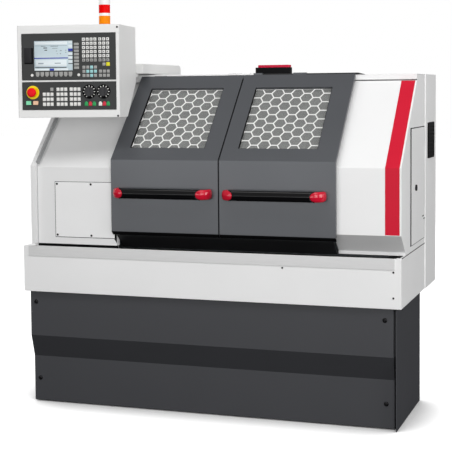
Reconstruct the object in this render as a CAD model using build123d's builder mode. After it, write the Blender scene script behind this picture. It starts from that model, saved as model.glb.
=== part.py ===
from build123d import *
import os
from math import cos, hypot, radians, sin, sqrt

os.makedirs("parts", exist_ok=True)

# Driving dimensions in millimetres. X runs along the spindle, Y to the back, Z up.
# Places along X count from the tray's left end, places along Y from the tray's front face.

# Chip tray, which sets the length and the front plane
tray_length = 1700
tray_depth = 553
tray_height = 206
tray_floor = 4
tray_rim_front = 25
tray_rim_left = 60
tray_rim_right = 10
tray_rim_back = 10
tray_front_from_centre = 290
sheet = 3
strip_height = 47
strip_inset = 26
strip_thickness = 2.5

# Clearances
fit_gap = 0.3
shaft_gap = 0.05
overrun = 20

# Stand
base_height = 507
base_inset = 21.5
base_back_step = 6
cover_setback = 17
cover_foot_setback = 45
cover_depth = 20
cover_sheet = 4
cover_right_step = 13
cover_floor_gap = 5
side_plate = 4
slant_drop = 201
slant_height = 98
bay_wall = 308.5
bay_front = 115
bay_floor = 12
bay_roof = 77
anchor_hole_d = 18
anchor_inset = 48
anchor_pocket_width = 90
anchor_pocket_height = 90
anchor_foot = 20

# Coolant tank and pump
tank_gap = 12
tank_headroom = 88
tank_wall = 4
pump_plate_length = 220
pump_plate = 6
pump_motor_d = 90
pump_motor_height = 66
pump_pipe_d = 40
pump_floor_gap = 30

# Bed
bed_start = 110
bed_end_gap = 90
bed_back_gap = 243
bed_width = 210
bed_depth = 255
way_height = 20
way_rise = 182
way_width = 40
way_edge = 10
bed_foot_length = 220
bed_pocket_width = 80
bed_rib = 50
bed_pocket_count = 4
bed_pocket_end = 90
ear_thickness = 30
ear_height = 70
ear_reach = 185
z_screw_start = 500
z_screw_end_gap = 155
z_screw_reach = 150
z_screw_drop = 45
z_screw_d = 32
z_journal_d = 20
z_servo_size = 86
z_servo_flange = 12
z_servo_length = 112
servo_socket = 14

# Headstock and spindle
centre_height = 165
headstock_length = 370
headstock_width = 250
headstock_over = 140
headstock_chamfer = 45
spindle_d = 90
spindle_bore_d = 38
spindle_tail_d = 60
spindle_tail_start = 62
nose_gap = 1
nose_d = 140
nose_length = 24

# Belt drive
pulley_start = 66
pulley_width = 36
pulley_flange = 4
pulley_flange_rise = 5
spindle_pulley_d = 150
motor_pulley_d = 100
belt_thickness = 5
belt_side_gap = 1
motor_back_gap = 72
motor_drop = 280
motor_size = 132
motor_gap = 18
motor_length = 300
motor_shaft_d = 28
motor_socket = 40
motor_end_bell = 40
motor_bell_inset = 8

# Chuck
chuck_d = 200
chuck_length = 80
chuck_bore_d = 46
jaw_width = 30
jaw_slot_depth = 32
jaw_inner = 35
jaw_outer = 92
jaw_step = 62
jaw_reach = 27
jaw_low_reach = 12

# Carriage, cross slide and tools
carriage_start = 760
carriage_length = 200
carriage_reach = 185
carriage_tail = 115
saddle_height = 50
apron_cover = 50
apron_gap = 2
nut_bore_gap = 0.5
x_channel_width = 44
x_channel_depth = 37
x_channel_end = 10
x_screw_drop = 17
x_screw_d = 20
x_journal_d = 12
x_servo_size = 66
x_servo_length = 95
cross_reach = 200
cross_length = 220
cross_width = 170
cross_height = 40
cross_nut_reach = 90
cross_nut_length = 50
cross_nut_width = 36
cross_nut_depth = 33
turret_reach = 135
turret_size = 100
turret_foot_d = 92
turret_foot = 12
turret_height = 110
turret_cap_d = 46
turret_cap = 22
tool_size = 16
tool_overhang = 22
tool_slot_depth = 19

# Tailstock
tailstock_end_gap = 210
tailstock_length = 160
tailstock_width = 214
tailstock_foot = 36
tailstock_upright = 116
tailstock_top_round = 45
quill_d = 50
quill_length = 200
quill_overhang = 60
quill_tip = 34
tailstock_back_wall = 12
hand_shaft_d = 16
handwheel_d = 150
handwheel_rim = 14
handwheel_hub_d = 34
handwheel_width = 16
handwheel_gap = 6
handwheel_spoke = 12

# Enclosure
wall_height = 746
roof_front = 355
roof_lip = 24
roof_gap = 4
roof_wall_step = 15
cover_face = 1
left_cover_start = 50
left_cover_end = 456
left_slope_rise = 367
left_foot_step = 15
left_foot_height = 12
flange_width = 24
flange_proud = 16
cover_return = 30
bar_hole_d = 64
right_cover_width = 279
right_slope_rise = 354
right_low_rise = 91
right_under_y = 90
right_under_rise = 15
plate_start = 163
plate_width = 283
plate_rise = 44
plate_height = 242
plate_thickness = 2

# Side hatch and lock
hatch_front = 205
hatch_back_gap = 20
hatch_rise = 28
hatch_height = 487
hatch_lap = 12
hatch_thickness = 3.7
hinge_barrel_d = 5
hinge_barrel_length = 50
hinge_barrel_share = 0.23
lock_y = 300
lock_rise = 236
lock_d = 26
lock_stem_d = 13
lock_head = 6

# Electrical cabinet
cabinet_start = 300
cabinet_depth = 253
cabinet_proud = 4
cabinet_door_depth = 18
cabinet_door_gap = 1
cabinet_flange = 22
mount_plate_inset = 60
mount_plate = 4
drive_count = 4
drive_width = 110
drive_height = 330
drive_depth = 150
drive_pitch = 190
drive_rise = 393
latch_d = 30
latch_proud = 6
latch_inset = 45
cabinet_barrel_d = 10
cabinet_barrel_length = 90
grille_size = 160
grille_proud = 5
grille_back_gap = 129
grille_drop = 294
grille_frame = 14
grille_slot = 6
grille_slot_count = 8
grille_slot_depth = 3.5

# Doors
door_lap = 15
door_seam_share = 0.4955
door_seam_gap = 1
door_face = -21
door_low_rise = 78
door_top_over = 3
door_top_y = 340
door_return = 16
window_margin = 70
window_far_margin = 78.5
window_length = 360
window_low = 71
window_lip = 9
guard_lap = 14
guard_thickness = 2
hex_side = 29.3
hex_bar = 5
hex_shift = 20
hex_lift = 2.5
pane_thickness = 5
handle_far_inset = 27.5
handle_inset = 20
handle_rise = 247
handle_standoff = 60
handle_depth = 22
handle_tall = 43
handle_chamfer = 5.5
handle_ridge = 3
handle_bend = 45
handle_cap = 24
handle_tongue = 33
handle_tongue_rise = 2

# Rails
rail_start = 142
rail_end_gap = 225
rail_slant = 32
rail_front = 352
rail_depth = 20
rail_height = 8
hanger_length = 60
hanger_hook = 14
left_hanger_shares = (0.12, 0.84)
right_hanger_shares = (0.04, 0.44)
sill_top_y = 2
sill_top_rise = 58
sill_foot_y = 67

# Door interlock on the roof
interlock_from_seam = 40
interlock_length = 171
interlock_front = 374
interlock_depth = 34
interlock_body = 36
interlock_cap = 11
interlock_cap_inset = 8

# Control console, turned on its swivel
console_turn = 8.87
console_x = 48.5
console_y = -113
console_drop = 175
console_width = 455
console_height = 397
console_depth = 284
console_foot_depth = 134
console_round = 6
panel_width = 420
operator_panel_height = 200
machine_panel_height = 120
panel_left = 20
panel_drop = 35.7
panel_gap = 8
panel_recess = 6
panel_proud = 1.5
panel_round = 3
pocket_margin = 12
pocket_depth = 46
screen_left = 57
screen_drop = 31
screen_width = 172
screen_height = 128
screen_recess = 2
estop_x = 48.7
estop_drop = 44.8
estop_d = 40
estop_stem_d = 22
estop_stand = 12
estop_head = 16
estop_chamfer = 5
press_depth = 30
button_drop = 89.7
start_x = 29.5
stop_x = 60.8
button_width = 22
button_height = 17
button_proud = 5
feed_x = 301
speed_x = 364
knob_drop = 42.7
knob_d = 40
knob_height = 16
knob_shaft_d = 8
knob_grip_share = 0.3
tower_x = 360
tower_y = 119
tower_d = 50
tower_foot = 12
tower_lens = 34
tower_groove = 4
tower_groove_depth = 2
tower_cap = 24
tower_cap_chamfer = 6

# Console arm on the roof
arm_start = 325
arm_width = 150
arm_pivot_x = 400
arm_pivot_y = 290
arm_front = 272
arm_end = 745
arm_foot_front = 510
arm_rise = 15
arm_thickness = 44
arm_end_round = 24
lug_radius = 40
lug_thickness = 16
pin_d = 40
pin_head_d = 60
pin_head = 8

# Places worked out from the dimensions
left_x = -tray_length / 2
right_x = tray_length / 2
front_y = -tray_front_from_centre
back_y = front_y + tray_depth
tray_top = base_height + tray_height

# Heights above the floor
slant_top = base_height - slant_drop
slant_foot = slant_top - slant_height
bay_height = base_height - bay_roof
tank_height = bay_height - bay_floor - tank_headroom
way_top = tray_top + way_rise
bed_shoulder = way_top - way_height
bed_under = way_top - bed_depth
z_screw_height = way_top - z_screw_drop
spindle_height = way_top + centre_height
headstock_top = spindle_height + headstock_over
motor_height = spindle_height - motor_drop
carriage_top = way_top + saddle_height
apron_under = z_screw_height - apron_cover
x_channel_floor = carriage_top - x_channel_depth
x_screw_height = carriage_top - x_screw_drop
cross_top = carriage_top + cross_height
cross_nut_under = carriage_top - cross_nut_depth
turret_top = cross_top + turret_height
wall_top = tray_top + wall_height
left_top = wall_top - roof_lip - roof_gap
left_fold = left_top - left_slope_rise
right_fold = left_top - right_slope_rise
right_low_fold = tray_top + right_low_rise
right_under_z = tray_top + right_under_rise
plate_low = tray_top + plate_rise
hatch_low = tray_top + hatch_rise
hatch_top = hatch_low + hatch_height
lock_z = hatch_low + lock_rise
drive_low = base_height + drive_rise
grille_z = wall_top - grille_drop
door_low_fold = tray_top + door_low_rise
door_top = wall_top + door_top_over
door_high_fold = door_top - door_top_y + door_face
handle_height = tray_top + handle_rise
sill_top_z = tray_top + sill_top_rise
console_low = wall_top - console_drop
arm_under = wall_top + arm_rise
arm_top = arm_under + arm_thickness

# Places and lengths that follow the tray's length and depth
bed_axis = tray_depth - bed_back_gap
ear_front = bed_axis - ear_reach
z_screw_axis = bed_axis - z_screw_reach
motor_axis = tray_depth - motor_back_gap
carriage_front = bed_axis - carriage_reach
carriage_back = bed_axis + carriage_tail
cross_front = bed_axis - cross_reach
cross_nut_start = bed_axis - cross_nut_reach
turret_axis = bed_axis - turret_reach
bay_length = tray_length - 2 * base_inset - 2 * bay_wall
bed_length = tray_length - bed_start - bed_end_gap
z_screw_end = tray_length - z_screw_end_gap
tailstock_start = tray_length - tailstock_end_gap - tailstock_length
right_cover_start = tray_length - right_cover_width
left_door_start = left_cover_end - door_lap
right_door_end = right_cover_start + door_lap
door_seam = left_door_start + door_seam_share * (right_door_end - left_door_start)
left_door_width = door_seam - door_seam_gap / 2 - left_door_start
window_width = left_door_width - window_margin - window_far_margin
handle_length = left_door_width - handle_inset - handle_far_inset
rail_end = tray_length - rail_end_gap
interlock_start = door_seam + interlock_from_seam
hatch_back = tray_depth - hatch_back_gap
cabinet_back = tray_depth + cabinet_depth
grille_y = cabinet_back - grille_back_gap


def along(offset):
    """X of a place measured from the tray's left end."""
    return left_x + offset


def behind(offset):
    """Y of a place measured from the tray's front face."""
    return front_y + offset


def side_plane(x):
    """Plane across the machine: sketch in Y and Z, extrude towards +X."""
    return Plane(origin=(x, 0, 0), x_dir=(0, 1, 0), z_dir=(1, 0, 0))


def front_plane(y):
    """Plane facing the operator: sketch in X and Z, extrude towards the front."""
    return Plane(origin=(0, y, 0), x_dir=(1, 0, 0), z_dir=(0, -1, 0))


def block(x_span, y_span, z_span, mode=Mode.ADD):
    """Rectangular block between three spans, in the part being built."""
    spans = (x_span, y_span, z_span)
    with Locations(tuple((low + high) / 2 for low, high in spans)):
        Box(*(high - low for low, high in spans), mode=mode)


def rod(plane, diameter, length, mode=Mode.ADD):
    """Round bar that starts on a plane and runs along its normal."""
    with Locations(plane):
        Cylinder(diameter / 2, length, align=(Align.CENTER, Align.CENTER, Align.MIN), mode=mode)


def set_back(path, distance):
    """Copy of a path moved to the right of travel, with mitred corners."""
    normals = []
    for (a, b), (c, d) in zip(path, path[1:]):
        run = hypot(c - a, d - b)
        normals.append(((d - b) / run, (a - c) / run))
    shifted = []
    for i, (a, b) in enumerate(path):
        m = normals[max(i - 1, 0)]
        n = normals[min(i, len(normals) - 1)]
        spread = 1 + m[0] * n[0] + m[1] * n[1]
        shifted.append((a + distance * (m[0] + n[0]) / spread, b + distance * (m[1] + n[1]) / spread))
    return shifted


def folded(path, thickness):
    """Outline of a sheet folded along a path, thickened to the right of travel."""
    return path + set_back(path, thickness)[::-1]


def hinge_levels(low, top):
    """Heights of the two hinge barrels on a leaf between two levels."""
    rise = hinge_barrel_share * (top - low)
    return (low + rise, top - rise)


def save(part, name):
    """Label one finished piece and write its file."""
    part.label = name
    export_step(part, f"parts/{name}.step")


# Stand: closed pedestal casting with a bay for the tank, pockets for the floor anchors
# and a straight side plate that closes the right end of the front cover
base_x = (left_x + base_inset, right_x - base_inset)
base_back = back_y + base_back_step
base_foot_face = behind(cover_foot_setback + cover_depth)
cover_path = [
    (behind(cover_foot_setback), cover_floor_gap),
    (behind(cover_foot_setback), slant_foot),
    (behind(cover_setback), slant_top),
    (behind(cover_setback), base_height),
]
base_front = set_back(cover_path, cover_depth)
base_outline = [(base_foot_face, 0)] + base_front[1:] + [(base_back, base_height), (base_back, 0)]
anchor_x = base_x[1] - anchor_inset
anchor_ys = (base_foot_face + anchor_inset, base_back - anchor_inset)
pocket_reach = anchor_inset + anchor_pocket_width / 2
pocket_ys = (
    (base_foot_face - overrun, base_foot_face + pocket_reach),
    (base_back - pocket_reach, base_back + overrun),
)
with BuildPart() as base_frame:
    with BuildSketch(side_plane(base_x[0])):
        with BuildLine():
            Polyline(*base_outline, close=True)
        make_face()
    extrude(amount=base_x[1] - base_x[0])
    block(
        (-bay_length / 2, bay_length / 2),
        (behind(bay_front), base_back + overrun),
        (bay_floor, bay_height),
        mode=Mode.SUBTRACT,
    )
    for pocket_x in (-anchor_x, anchor_x):
        pocket_span = (pocket_x - anchor_pocket_width / 2, pocket_x + anchor_pocket_width / 2)
        pocket_rise = (anchor_foot, anchor_foot + anchor_pocket_height)
        for pocket_y in pocket_ys:
            block(pocket_span, pocket_y, pocket_rise, Mode.SUBTRACT)
        for anchor_y in anchor_ys:
            rod(Plane(origin=(pocket_x, anchor_y, 0)), anchor_hole_d, anchor_foot, Mode.SUBTRACT)
    block((base_x[1] - side_plate, base_x[1]), (behind(cover_setback), base_foot_face), (0, base_height))
save(base_frame.part, "base_frame")

# Front cover of the stand: folded pan that follows the slanted front
cover_x = (base_x[0], base_x[1] - cover_right_step)
with BuildPart() as base_front_cover:
    with BuildSketch(side_plane(cover_x[0])):
        with BuildLine():
            Polyline(*folded(cover_path, cover_sheet), close=True)
        make_face()
    extrude(amount=cover_x[1] - cover_x[0])
    for return_x in (cover_x[0], cover_x[1] - cover_sheet):
        with BuildSketch(side_plane(return_x)):
            with BuildLine():
                Polyline(*folded(cover_path, cover_depth), close=True)
            make_face()
        extrude(amount=cover_sheet)
save(base_front_cover.part, "base_front_cover")

# Coolant tank: open box that slides into the bay from the back
tank_x = (-bay_length / 2 + tank_gap, bay_length / 2 - tank_gap)
tank_y = (behind(bay_front) + tank_gap, base_back)
tank_top = bay_floor + tank_height
with BuildPart() as coolant_tank:
    block(tank_x, tank_y, (bay_floor, tank_top))
    block(
        (tank_x[0] + tank_wall, tank_x[1] - tank_wall),
        (tank_y[0] + tank_wall, tank_y[1] - tank_wall),
        (bay_floor + tank_wall, tank_top + overrun),
        mode=Mode.SUBTRACT,
    )
save(coolant_tank.part, "coolant_tank")

# Coolant pump: immersion pump on a plate across the tank's right end
pump_x = (tank_x[1] - pump_plate_length, tank_x[1])
pump_axis = (pump_x[1] - pump_plate_length / 2, (tank_y[0] + tank_y[1]) / 2)
with BuildPart() as coolant_pump:
    block(pump_x, tank_y, (tank_top, tank_top + pump_plate))
    rod(Plane(origin=(*pump_axis, tank_top + pump_plate)), pump_motor_d, pump_motor_height)
    pump_foot = bay_floor + tank_wall + pump_floor_gap
    rod(Plane(origin=(*pump_axis, pump_foot)), pump_pipe_d, tank_top - pump_foot)
save(coolant_pump.part, "coolant_pump")

# Chip tray: folded pan with an inward rim that carries the enclosure
with BuildPart() as chip_tray:
    block((left_x, right_x), (front_y, back_y), (base_height, tray_top))
    block(
        (left_x + sheet, right_x - sheet),
        (front_y + sheet, back_y - sheet),
        (base_height + tray_floor, tray_top - sheet),
        mode=Mode.SUBTRACT,
    )
    block(
        (left_x + tray_rim_left, right_x - tray_rim_right),
        (front_y + tray_rim_front, back_y - tray_rim_back),
        (tray_top - sheet - overrun, tray_top + overrun),
        mode=Mode.SUBTRACT,
    )
save(chip_tray.part, "chip_tray")

# Trim strip along the top of the tray's front
with BuildPart() as tray_trim_strip:
    block(
        (left_x + strip_inset, right_x - strip_inset),
        (front_y - strip_thickness, front_y),
        (tray_top - strip_height, tray_top),
    )
save(tray_trim_strip.part, "tray_trim_strip")

# Bed: ribbed casting on two feet, with a vee way in front and a flat way behind
bed_y = behind(bed_axis)
bed_front = bed_y - bed_width / 2
bed_back = bed_y + bed_width / 2
bed_x = (along(bed_start), along(bed_start + bed_length))
vee_front = bed_front + way_edge
flat_back = bed_back - way_edge
bed_outline = [
    (bed_front, bed_under),
    (bed_front, bed_shoulder - way_edge),
    (vee_front, bed_shoulder),
    (vee_front + way_width / 2, way_top),
    (vee_front + way_width, bed_shoulder),
    (flat_back - way_width, bed_shoulder),
    (flat_back - way_width, way_top),
    (flat_back, way_top),
    (flat_back, bed_shoulder),
    (bed_back, bed_shoulder - way_edge),
    (bed_back, bed_under),
]
pocket_run = bed_length - 2 * bed_pocket_end - (bed_pocket_count - 1) * bed_rib
pocket_length = pocket_run / bed_pocket_count
pan_floor = base_height + tray_floor
ear_xs = (along(z_screw_start), along(z_screw_end))
ear_z = (z_screw_height - ear_height / 2, z_screw_height + ear_height / 2)
z_axis_y = behind(z_screw_axis)
with BuildPart() as bed:
    with BuildSketch(side_plane(bed_x[0])):
        with BuildLine():
            Polyline(*bed_outline, close=True)
        make_face()
    extrude(amount=bed_length)
    for i in range(bed_pocket_count):
        pocket_start = bed_x[0] + bed_pocket_end + i * (pocket_length + bed_rib)
        block(
            (pocket_start, pocket_start + pocket_length),
            (bed_y - bed_pocket_width / 2, bed_y + bed_pocket_width / 2),
            (bed_under - overrun, way_top + overrun),
            mode=Mode.SUBTRACT,
        )
    for foot_x in (bed_x[0], bed_x[1] - bed_foot_length):
        block((foot_x, foot_x + bed_foot_length), (bed_front, bed_back), (pan_floor, bed_under))
    for ear_x in ear_xs:
        block((ear_x, ear_x + ear_thickness), (behind(ear_front), bed_front), ear_z)
        ear_plane = Plane(origin=(ear_x, z_axis_y, z_screw_height), x_dir=(0, 1, 0), z_dir=(1, 0, 0))
        rod(ear_plane, z_journal_d + 2 * shaft_gap, ear_thickness, Mode.SUBTRACT)
save(bed.part, "bed")

# Ball screw along the bed, journalled in the two ears
z_thread = (ear_xs[0] + ear_thickness + fit_gap, ear_xs[1] - fit_gap)
z_shaft_end = ear_xs[1] + ear_thickness + servo_socket
with BuildPart() as z_ball_screw:
    rod(
        Plane(origin=(ear_xs[0], z_axis_y, z_screw_height), x_dir=(0, 1, 0), z_dir=(1, 0, 0)),
        z_journal_d,
        z_shaft_end - ear_xs[0] - fit_gap,
    )
    rod(
        Plane(origin=(z_thread[0], z_axis_y, z_screw_height), x_dir=(0, 1, 0), z_dir=(1, 0, 0)),
        z_screw_d,
        z_thread[1] - z_thread[0],
    )
save(z_ball_screw.part, "z_ball_screw")

# Servo motor at the right end of that screw
z_servo_x = ear_xs[1] + ear_thickness
with BuildPart() as z_servo_motor:
    with BuildSketch(side_plane(z_servo_x)):
        with Locations((z_axis_y, z_screw_height)):
            Rectangle(z_servo_size, z_servo_size)
            Circle(z_journal_d / 2 + fit_gap, mode=Mode.SUBTRACT)
    extrude(amount=servo_socket)
    with BuildSketch(side_plane(z_servo_x + servo_socket)):
        with Locations((z_axis_y, z_screw_height)):
            RectangleRounded(z_servo_size - z_servo_flange, z_servo_size - z_servo_flange, z_servo_flange)
    extrude(amount=z_servo_length - servo_socket)
save(z_servo_motor.part, "z_servo_motor")

# Headstock: casting bored for the spindle
headstock_x = (bed_x[0], bed_x[0] + headstock_length)
spindle_plane = Plane(origin=(0, bed_y, spindle_height), x_dir=(0, 1, 0), z_dir=(1, 0, 0))


def on_spindle(x):
    """Plane across the spindle axis at X."""
    return spindle_plane.offset(x)


with BuildPart() as headstock:
    block(headstock_x, (bed_y - headstock_width / 2, bed_y + headstock_width / 2), (way_top, headstock_top))
    chamfer(headstock.edges().filter_by(Axis.X).group_by(Axis.Z)[-1], headstock_chamfer)
    rod(on_spindle(headstock_x[0]), spindle_d + 2 * shaft_gap, headstock_length, Mode.SUBTRACT)
save(headstock.part, "headstock")

# Spindle: hollow shaft with a flanged nose
nose_x = headstock_x[1] + nose_gap
chuck_x = nose_x + nose_length
tail_x = along(spindle_tail_start)
with BuildPart() as spindle:
    rod(on_spindle(tail_x), spindle_tail_d, headstock_x[0] - tail_x)
    rod(on_spindle(headstock_x[0]), spindle_d, nose_x - headstock_x[0])
    rod(on_spindle(nose_x), nose_d, nose_length)
    rod(on_spindle(tail_x), spindle_bore_d, chuck_x - tail_x, Mode.SUBTRACT)
save(spindle.part, "spindle")

# Flanged belt pulleys on the spindle and on the motor shaft
pulley_x = along(pulley_start)
motor_plane = Plane(origin=(0, behind(motor_axis), motor_height), x_dir=(0, 1, 0), z_dir=(1, 0, 0))
with BuildPart() as spindle_pulley:
    rod(on_spindle(pulley_x), spindle_pulley_d, pulley_width)
    for flange_x in (pulley_x, pulley_x + pulley_width - pulley_flange):
        rod(on_spindle(flange_x), spindle_pulley_d + 2 * pulley_flange_rise, pulley_flange)
    rod(on_spindle(pulley_x), spindle_tail_d + 2 * shaft_gap, pulley_width, Mode.SUBTRACT)
save(spindle_pulley.part, "spindle_pulley")

motor_x = pulley_x + pulley_width + motor_gap
with BuildPart() as motor_pulley:
    rod(motor_plane.offset(pulley_x), motor_pulley_d, pulley_width)
    for flange_x in (pulley_x, pulley_x + pulley_width - pulley_flange):
        rod(motor_plane.offset(flange_x), motor_pulley_d + 2 * pulley_flange_rise, pulley_flange)
    rod(motor_plane.offset(pulley_x + pulley_width), motor_shaft_d, motor_gap + motor_socket - fit_gap)
save(motor_pulley.part, "motor_pulley")

# Belt: loop hugging both pulleys between their flanges
belt_x = pulley_x + pulley_flange + belt_side_gap
belt_width = pulley_width - 2 * pulley_flange - 2 * belt_side_gap
belt_centres = ((bed_y, spindle_height), (behind(motor_axis), motor_height))
with BuildPart() as drive_belt:
    for layer, layer_mode in ((belt_thickness, Mode.ADD), (0, Mode.SUBTRACT)):
        with BuildSketch(side_plane(belt_x)) as belt_loop:
            for centre, pulley_d in zip(belt_centres, (spindle_pulley_d, motor_pulley_d)):
                with Locations(centre):
                    Circle(pulley_d / 2 + fit_gap + layer)
            make_hull()
        extrude(amount=belt_width, mode=layer_mode)
save(drive_belt.part, "drive_belt")

# Main motor: square frame bolted to the back of the bed, with a round end bell
with BuildPart() as main_motor:
    with BuildSketch(motor_plane.offset(motor_x)):
        Rectangle(motor_size, motor_size)
    extrude(amount=motor_length)
    with BuildSketch(motor_plane.offset(motor_x + motor_length)):
        Circle(motor_size / 2 - motor_bell_inset)
    extrude(amount=motor_end_bell)
    rod(motor_plane.offset(motor_x), motor_shaft_d + 2 * shaft_gap, motor_socket, Mode.SUBTRACT)
save(main_motor.part, "main_motor")

# Chuck: round body with three radial jaw slots
chuck_face = chuck_x + chuck_length
jaw_floor = chuck_face - jaw_slot_depth
jaw_angles = (90, 210, 330)


def jaw_plane(angle, x):
    """Plane across the spindle whose local X points outwards along one jaw."""
    turn = radians(angle)
    return Plane(origin=(x, bed_y, spindle_height), x_dir=(0, cos(turn), sin(turn)), z_dir=(1, 0, 0))


with BuildPart() as chuck_body:
    rod(on_spindle(chuck_x), chuck_d, chuck_length)
    rod(on_spindle(chuck_x), chuck_bore_d, chuck_length, Mode.SUBTRACT)
    for angle in jaw_angles:
        with BuildSketch(jaw_plane(angle, jaw_floor)):
            with Locations((chuck_d / 2, 0)):
                Rectangle(chuck_d, jaw_width)
        extrude(amount=jaw_slot_depth, mode=Mode.SUBTRACT)
save(chuck_body.part, "chuck_body")

# Three stepped jaws that slide in the slots
for i, angle in enumerate(jaw_angles):
    with BuildPart() as jaw:
        with BuildSketch(jaw_plane(angle, jaw_floor + fit_gap)):
            with Locations(((jaw_inner + jaw_outer) / 2, 0)):
                Rectangle(jaw_outer - jaw_inner, jaw_width - 2 * fit_gap)
        extrude(amount=jaw_slot_depth + jaw_low_reach)
        with BuildSketch(jaw_plane(angle, chuck_face + jaw_low_reach)):
            with Locations(((jaw_inner + jaw_step) / 2, 0)):
                Rectangle(jaw_step - jaw_inner, jaw_width - 2 * fit_gap)
        extrude(amount=jaw_reach - jaw_low_reach)
    save(jaw.part, f"chuck_jaw_{i + 1}")

# Carriage: saddle across the ways with an apron that holds the screw nut
carriage_x = (along(carriage_start), along(carriage_start + carriage_length))
carriage_mid = (carriage_x[0] + carriage_x[1]) / 2
carriage_y = (behind(carriage_front), behind(carriage_back))
saddle_under = way_top + fit_gap
channel_x = (carriage_mid - x_channel_width / 2, carriage_mid + x_channel_width / 2)
channel_y = (carriage_y[0] + x_channel_end, carriage_y[1] - x_channel_end)


def on_x_screw(y):
    """Plane across the cross screw's axis at Y, facing the back."""
    return Plane(origin=(carriage_mid, y, x_screw_height), x_dir=(1, 0, 0), z_dir=(0, 1, 0))


with BuildPart() as carriage:
    block(carriage_x, carriage_y, (saddle_under, carriage_top))
    block(carriage_x, (carriage_y[0], bed_front - apron_gap), (apron_under, saddle_under))
    block(channel_x, channel_y, (x_channel_floor, carriage_top + overrun), mode=Mode.SUBTRACT)
    rod(
        Plane(origin=(carriage_x[0], z_axis_y, z_screw_height), x_dir=(0, 1, 0), z_dir=(1, 0, 0)),
        z_screw_d + 2 * nut_bore_gap,
        carriage_length,
        Mode.SUBTRACT,
    )
    rod(
        on_x_screw(carriage_y[0]),
        x_journal_d + 2 * shaft_gap,
        carriage_y[1] - carriage_y[0],
        Mode.SUBTRACT,
    )
save(carriage.part, "carriage")

# Ball screw across the carriage, with its servo behind
with BuildPart() as x_ball_screw:
    rod(on_x_screw(carriage_y[0]), x_journal_d, carriage_y[1] + servo_socket - fit_gap - carriage_y[0])
    rod(on_x_screw(channel_y[0] + fit_gap), x_screw_d, channel_y[1] - channel_y[0] - 2 * fit_gap)
save(x_ball_screw.part, "x_ball_screw")

with BuildPart() as x_servo_motor:
    with BuildSketch(on_x_screw(carriage_y[1])):
        Rectangle(x_servo_size, x_servo_size)
        Circle(x_journal_d / 2 + fit_gap, mode=Mode.SUBTRACT)
    extrude(amount=servo_socket)
    with BuildSketch(on_x_screw(carriage_y[1] + servo_socket)):
        RectangleRounded(x_servo_size - z_servo_flange, x_servo_size - z_servo_flange, z_servo_flange)
    extrude(amount=x_servo_length - servo_socket)
save(x_servo_motor.part, "x_servo_motor")

# Cross slide: plate on the saddle with its nut in the channel
cross_y = (behind(cross_front), behind(cross_front + cross_length))
cross_x = (carriage_mid - cross_width / 2, carriage_mid + cross_width / 2)
nut_y = (behind(cross_nut_start), behind(cross_nut_start + cross_nut_length))
with BuildPart() as cross_slide:
    block(cross_x, cross_y, (carriage_top + fit_gap, cross_top))
    block(
        (carriage_mid - cross_nut_width / 2, carriage_mid + cross_nut_width / 2),
        nut_y,
        (cross_nut_under, carriage_top + fit_gap),
    )
    rod(
        on_x_screw(nut_y[0]),
        x_screw_d + 2 * nut_bore_gap,
        cross_nut_length,
        Mode.SUBTRACT,
    )
save(cross_slide.part, "cross_slide")

# Four-way tool turret on a round foot, with its clamp cap on top
turret_y = behind(turret_axis)
turret_low = cross_top + fit_gap + turret_foot
half_turret = turret_size / 2
slot_low = spindle_height - tool_size
turret_plane = Plane(origin=(carriage_mid, turret_y, 0))
with BuildPart() as tool_turret:
    rod(turret_plane.offset(cross_top + fit_gap), turret_foot_d, turret_foot)
    with BuildSketch(turret_plane.offset(turret_low)):
        Rectangle(turret_size, turret_size)
    extrude(amount=turret_top - turret_low)
    with BuildSketch(turret_plane.offset(slot_low)):
        Rectangle(turret_size, turret_size)
        Rectangle(turret_size - 2 * tool_slot_depth, turret_size - 2 * tool_slot_depth, mode=Mode.SUBTRACT)
    extrude(amount=tool_size + fit_gap, mode=Mode.SUBTRACT)
    rod(turret_plane.offset(turret_top), turret_cap_d, turret_cap)
save(tool_turret.part, "tool_turret")

# One turning tool along each side of the turret
with BuildPart() as turning_tools:
    for quarter in range(4):
        with BuildSketch(turret_plane.offset(slot_low).rotated((0, 0, 90 * quarter))):
            with Locations((half_turret - tool_size / 2, tool_overhang / 2 + tool_slot_depth / 2)):
                Rectangle(tool_size, turret_size + tool_overhang - tool_slot_depth)
        extrude(amount=tool_size)
save(turning_tools.part, "turning_tools")

# Tailstock: foot on the ways and an upright bored for the quill
tailstock_x = (along(tailstock_start), along(tailstock_start + tailstock_length))
tailstock_foot_top = way_top + fit_gap + tailstock_foot
quill_bore_end = tailstock_x[1] - tailstock_back_wall
upright_top = spindle_height + tailstock_upright / 2
with BuildPart() as tailstock:
    block(
        tailstock_x,
        (bed_y - tailstock_width / 2, bed_y + tailstock_width / 2),
        (way_top + fit_gap, tailstock_foot_top),
    )
    with BuildSketch(side_plane(tailstock_x[0])):
        with BuildLine():
            Polyline(
                (bed_y - tailstock_width / 2 + tailstock_foot, tailstock_foot_top),
                (bed_y - tailstock_upright / 2, spindle_height),
                (bed_y - tailstock_upright / 2, upright_top),
                (bed_y + tailstock_upright / 2, upright_top),
                (bed_y + tailstock_upright / 2, spindle_height),
                (bed_y + tailstock_width / 2 - tailstock_foot, tailstock_foot_top),
                close=True,
            )
        make_face()
    extrude(amount=tailstock_length)
    fillet(tailstock.edges().filter_by(Axis.X).group_by(Axis.Z)[-1], tailstock_top_round)
    rod(on_spindle(tailstock_x[0]), quill_d + 2 * shaft_gap, quill_bore_end - tailstock_x[0], Mode.SUBTRACT)
    rod(on_spindle(quill_bore_end), hand_shaft_d + 2 * shaft_gap, tailstock_back_wall, Mode.SUBTRACT)
save(tailstock.part, "tailstock")

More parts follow.
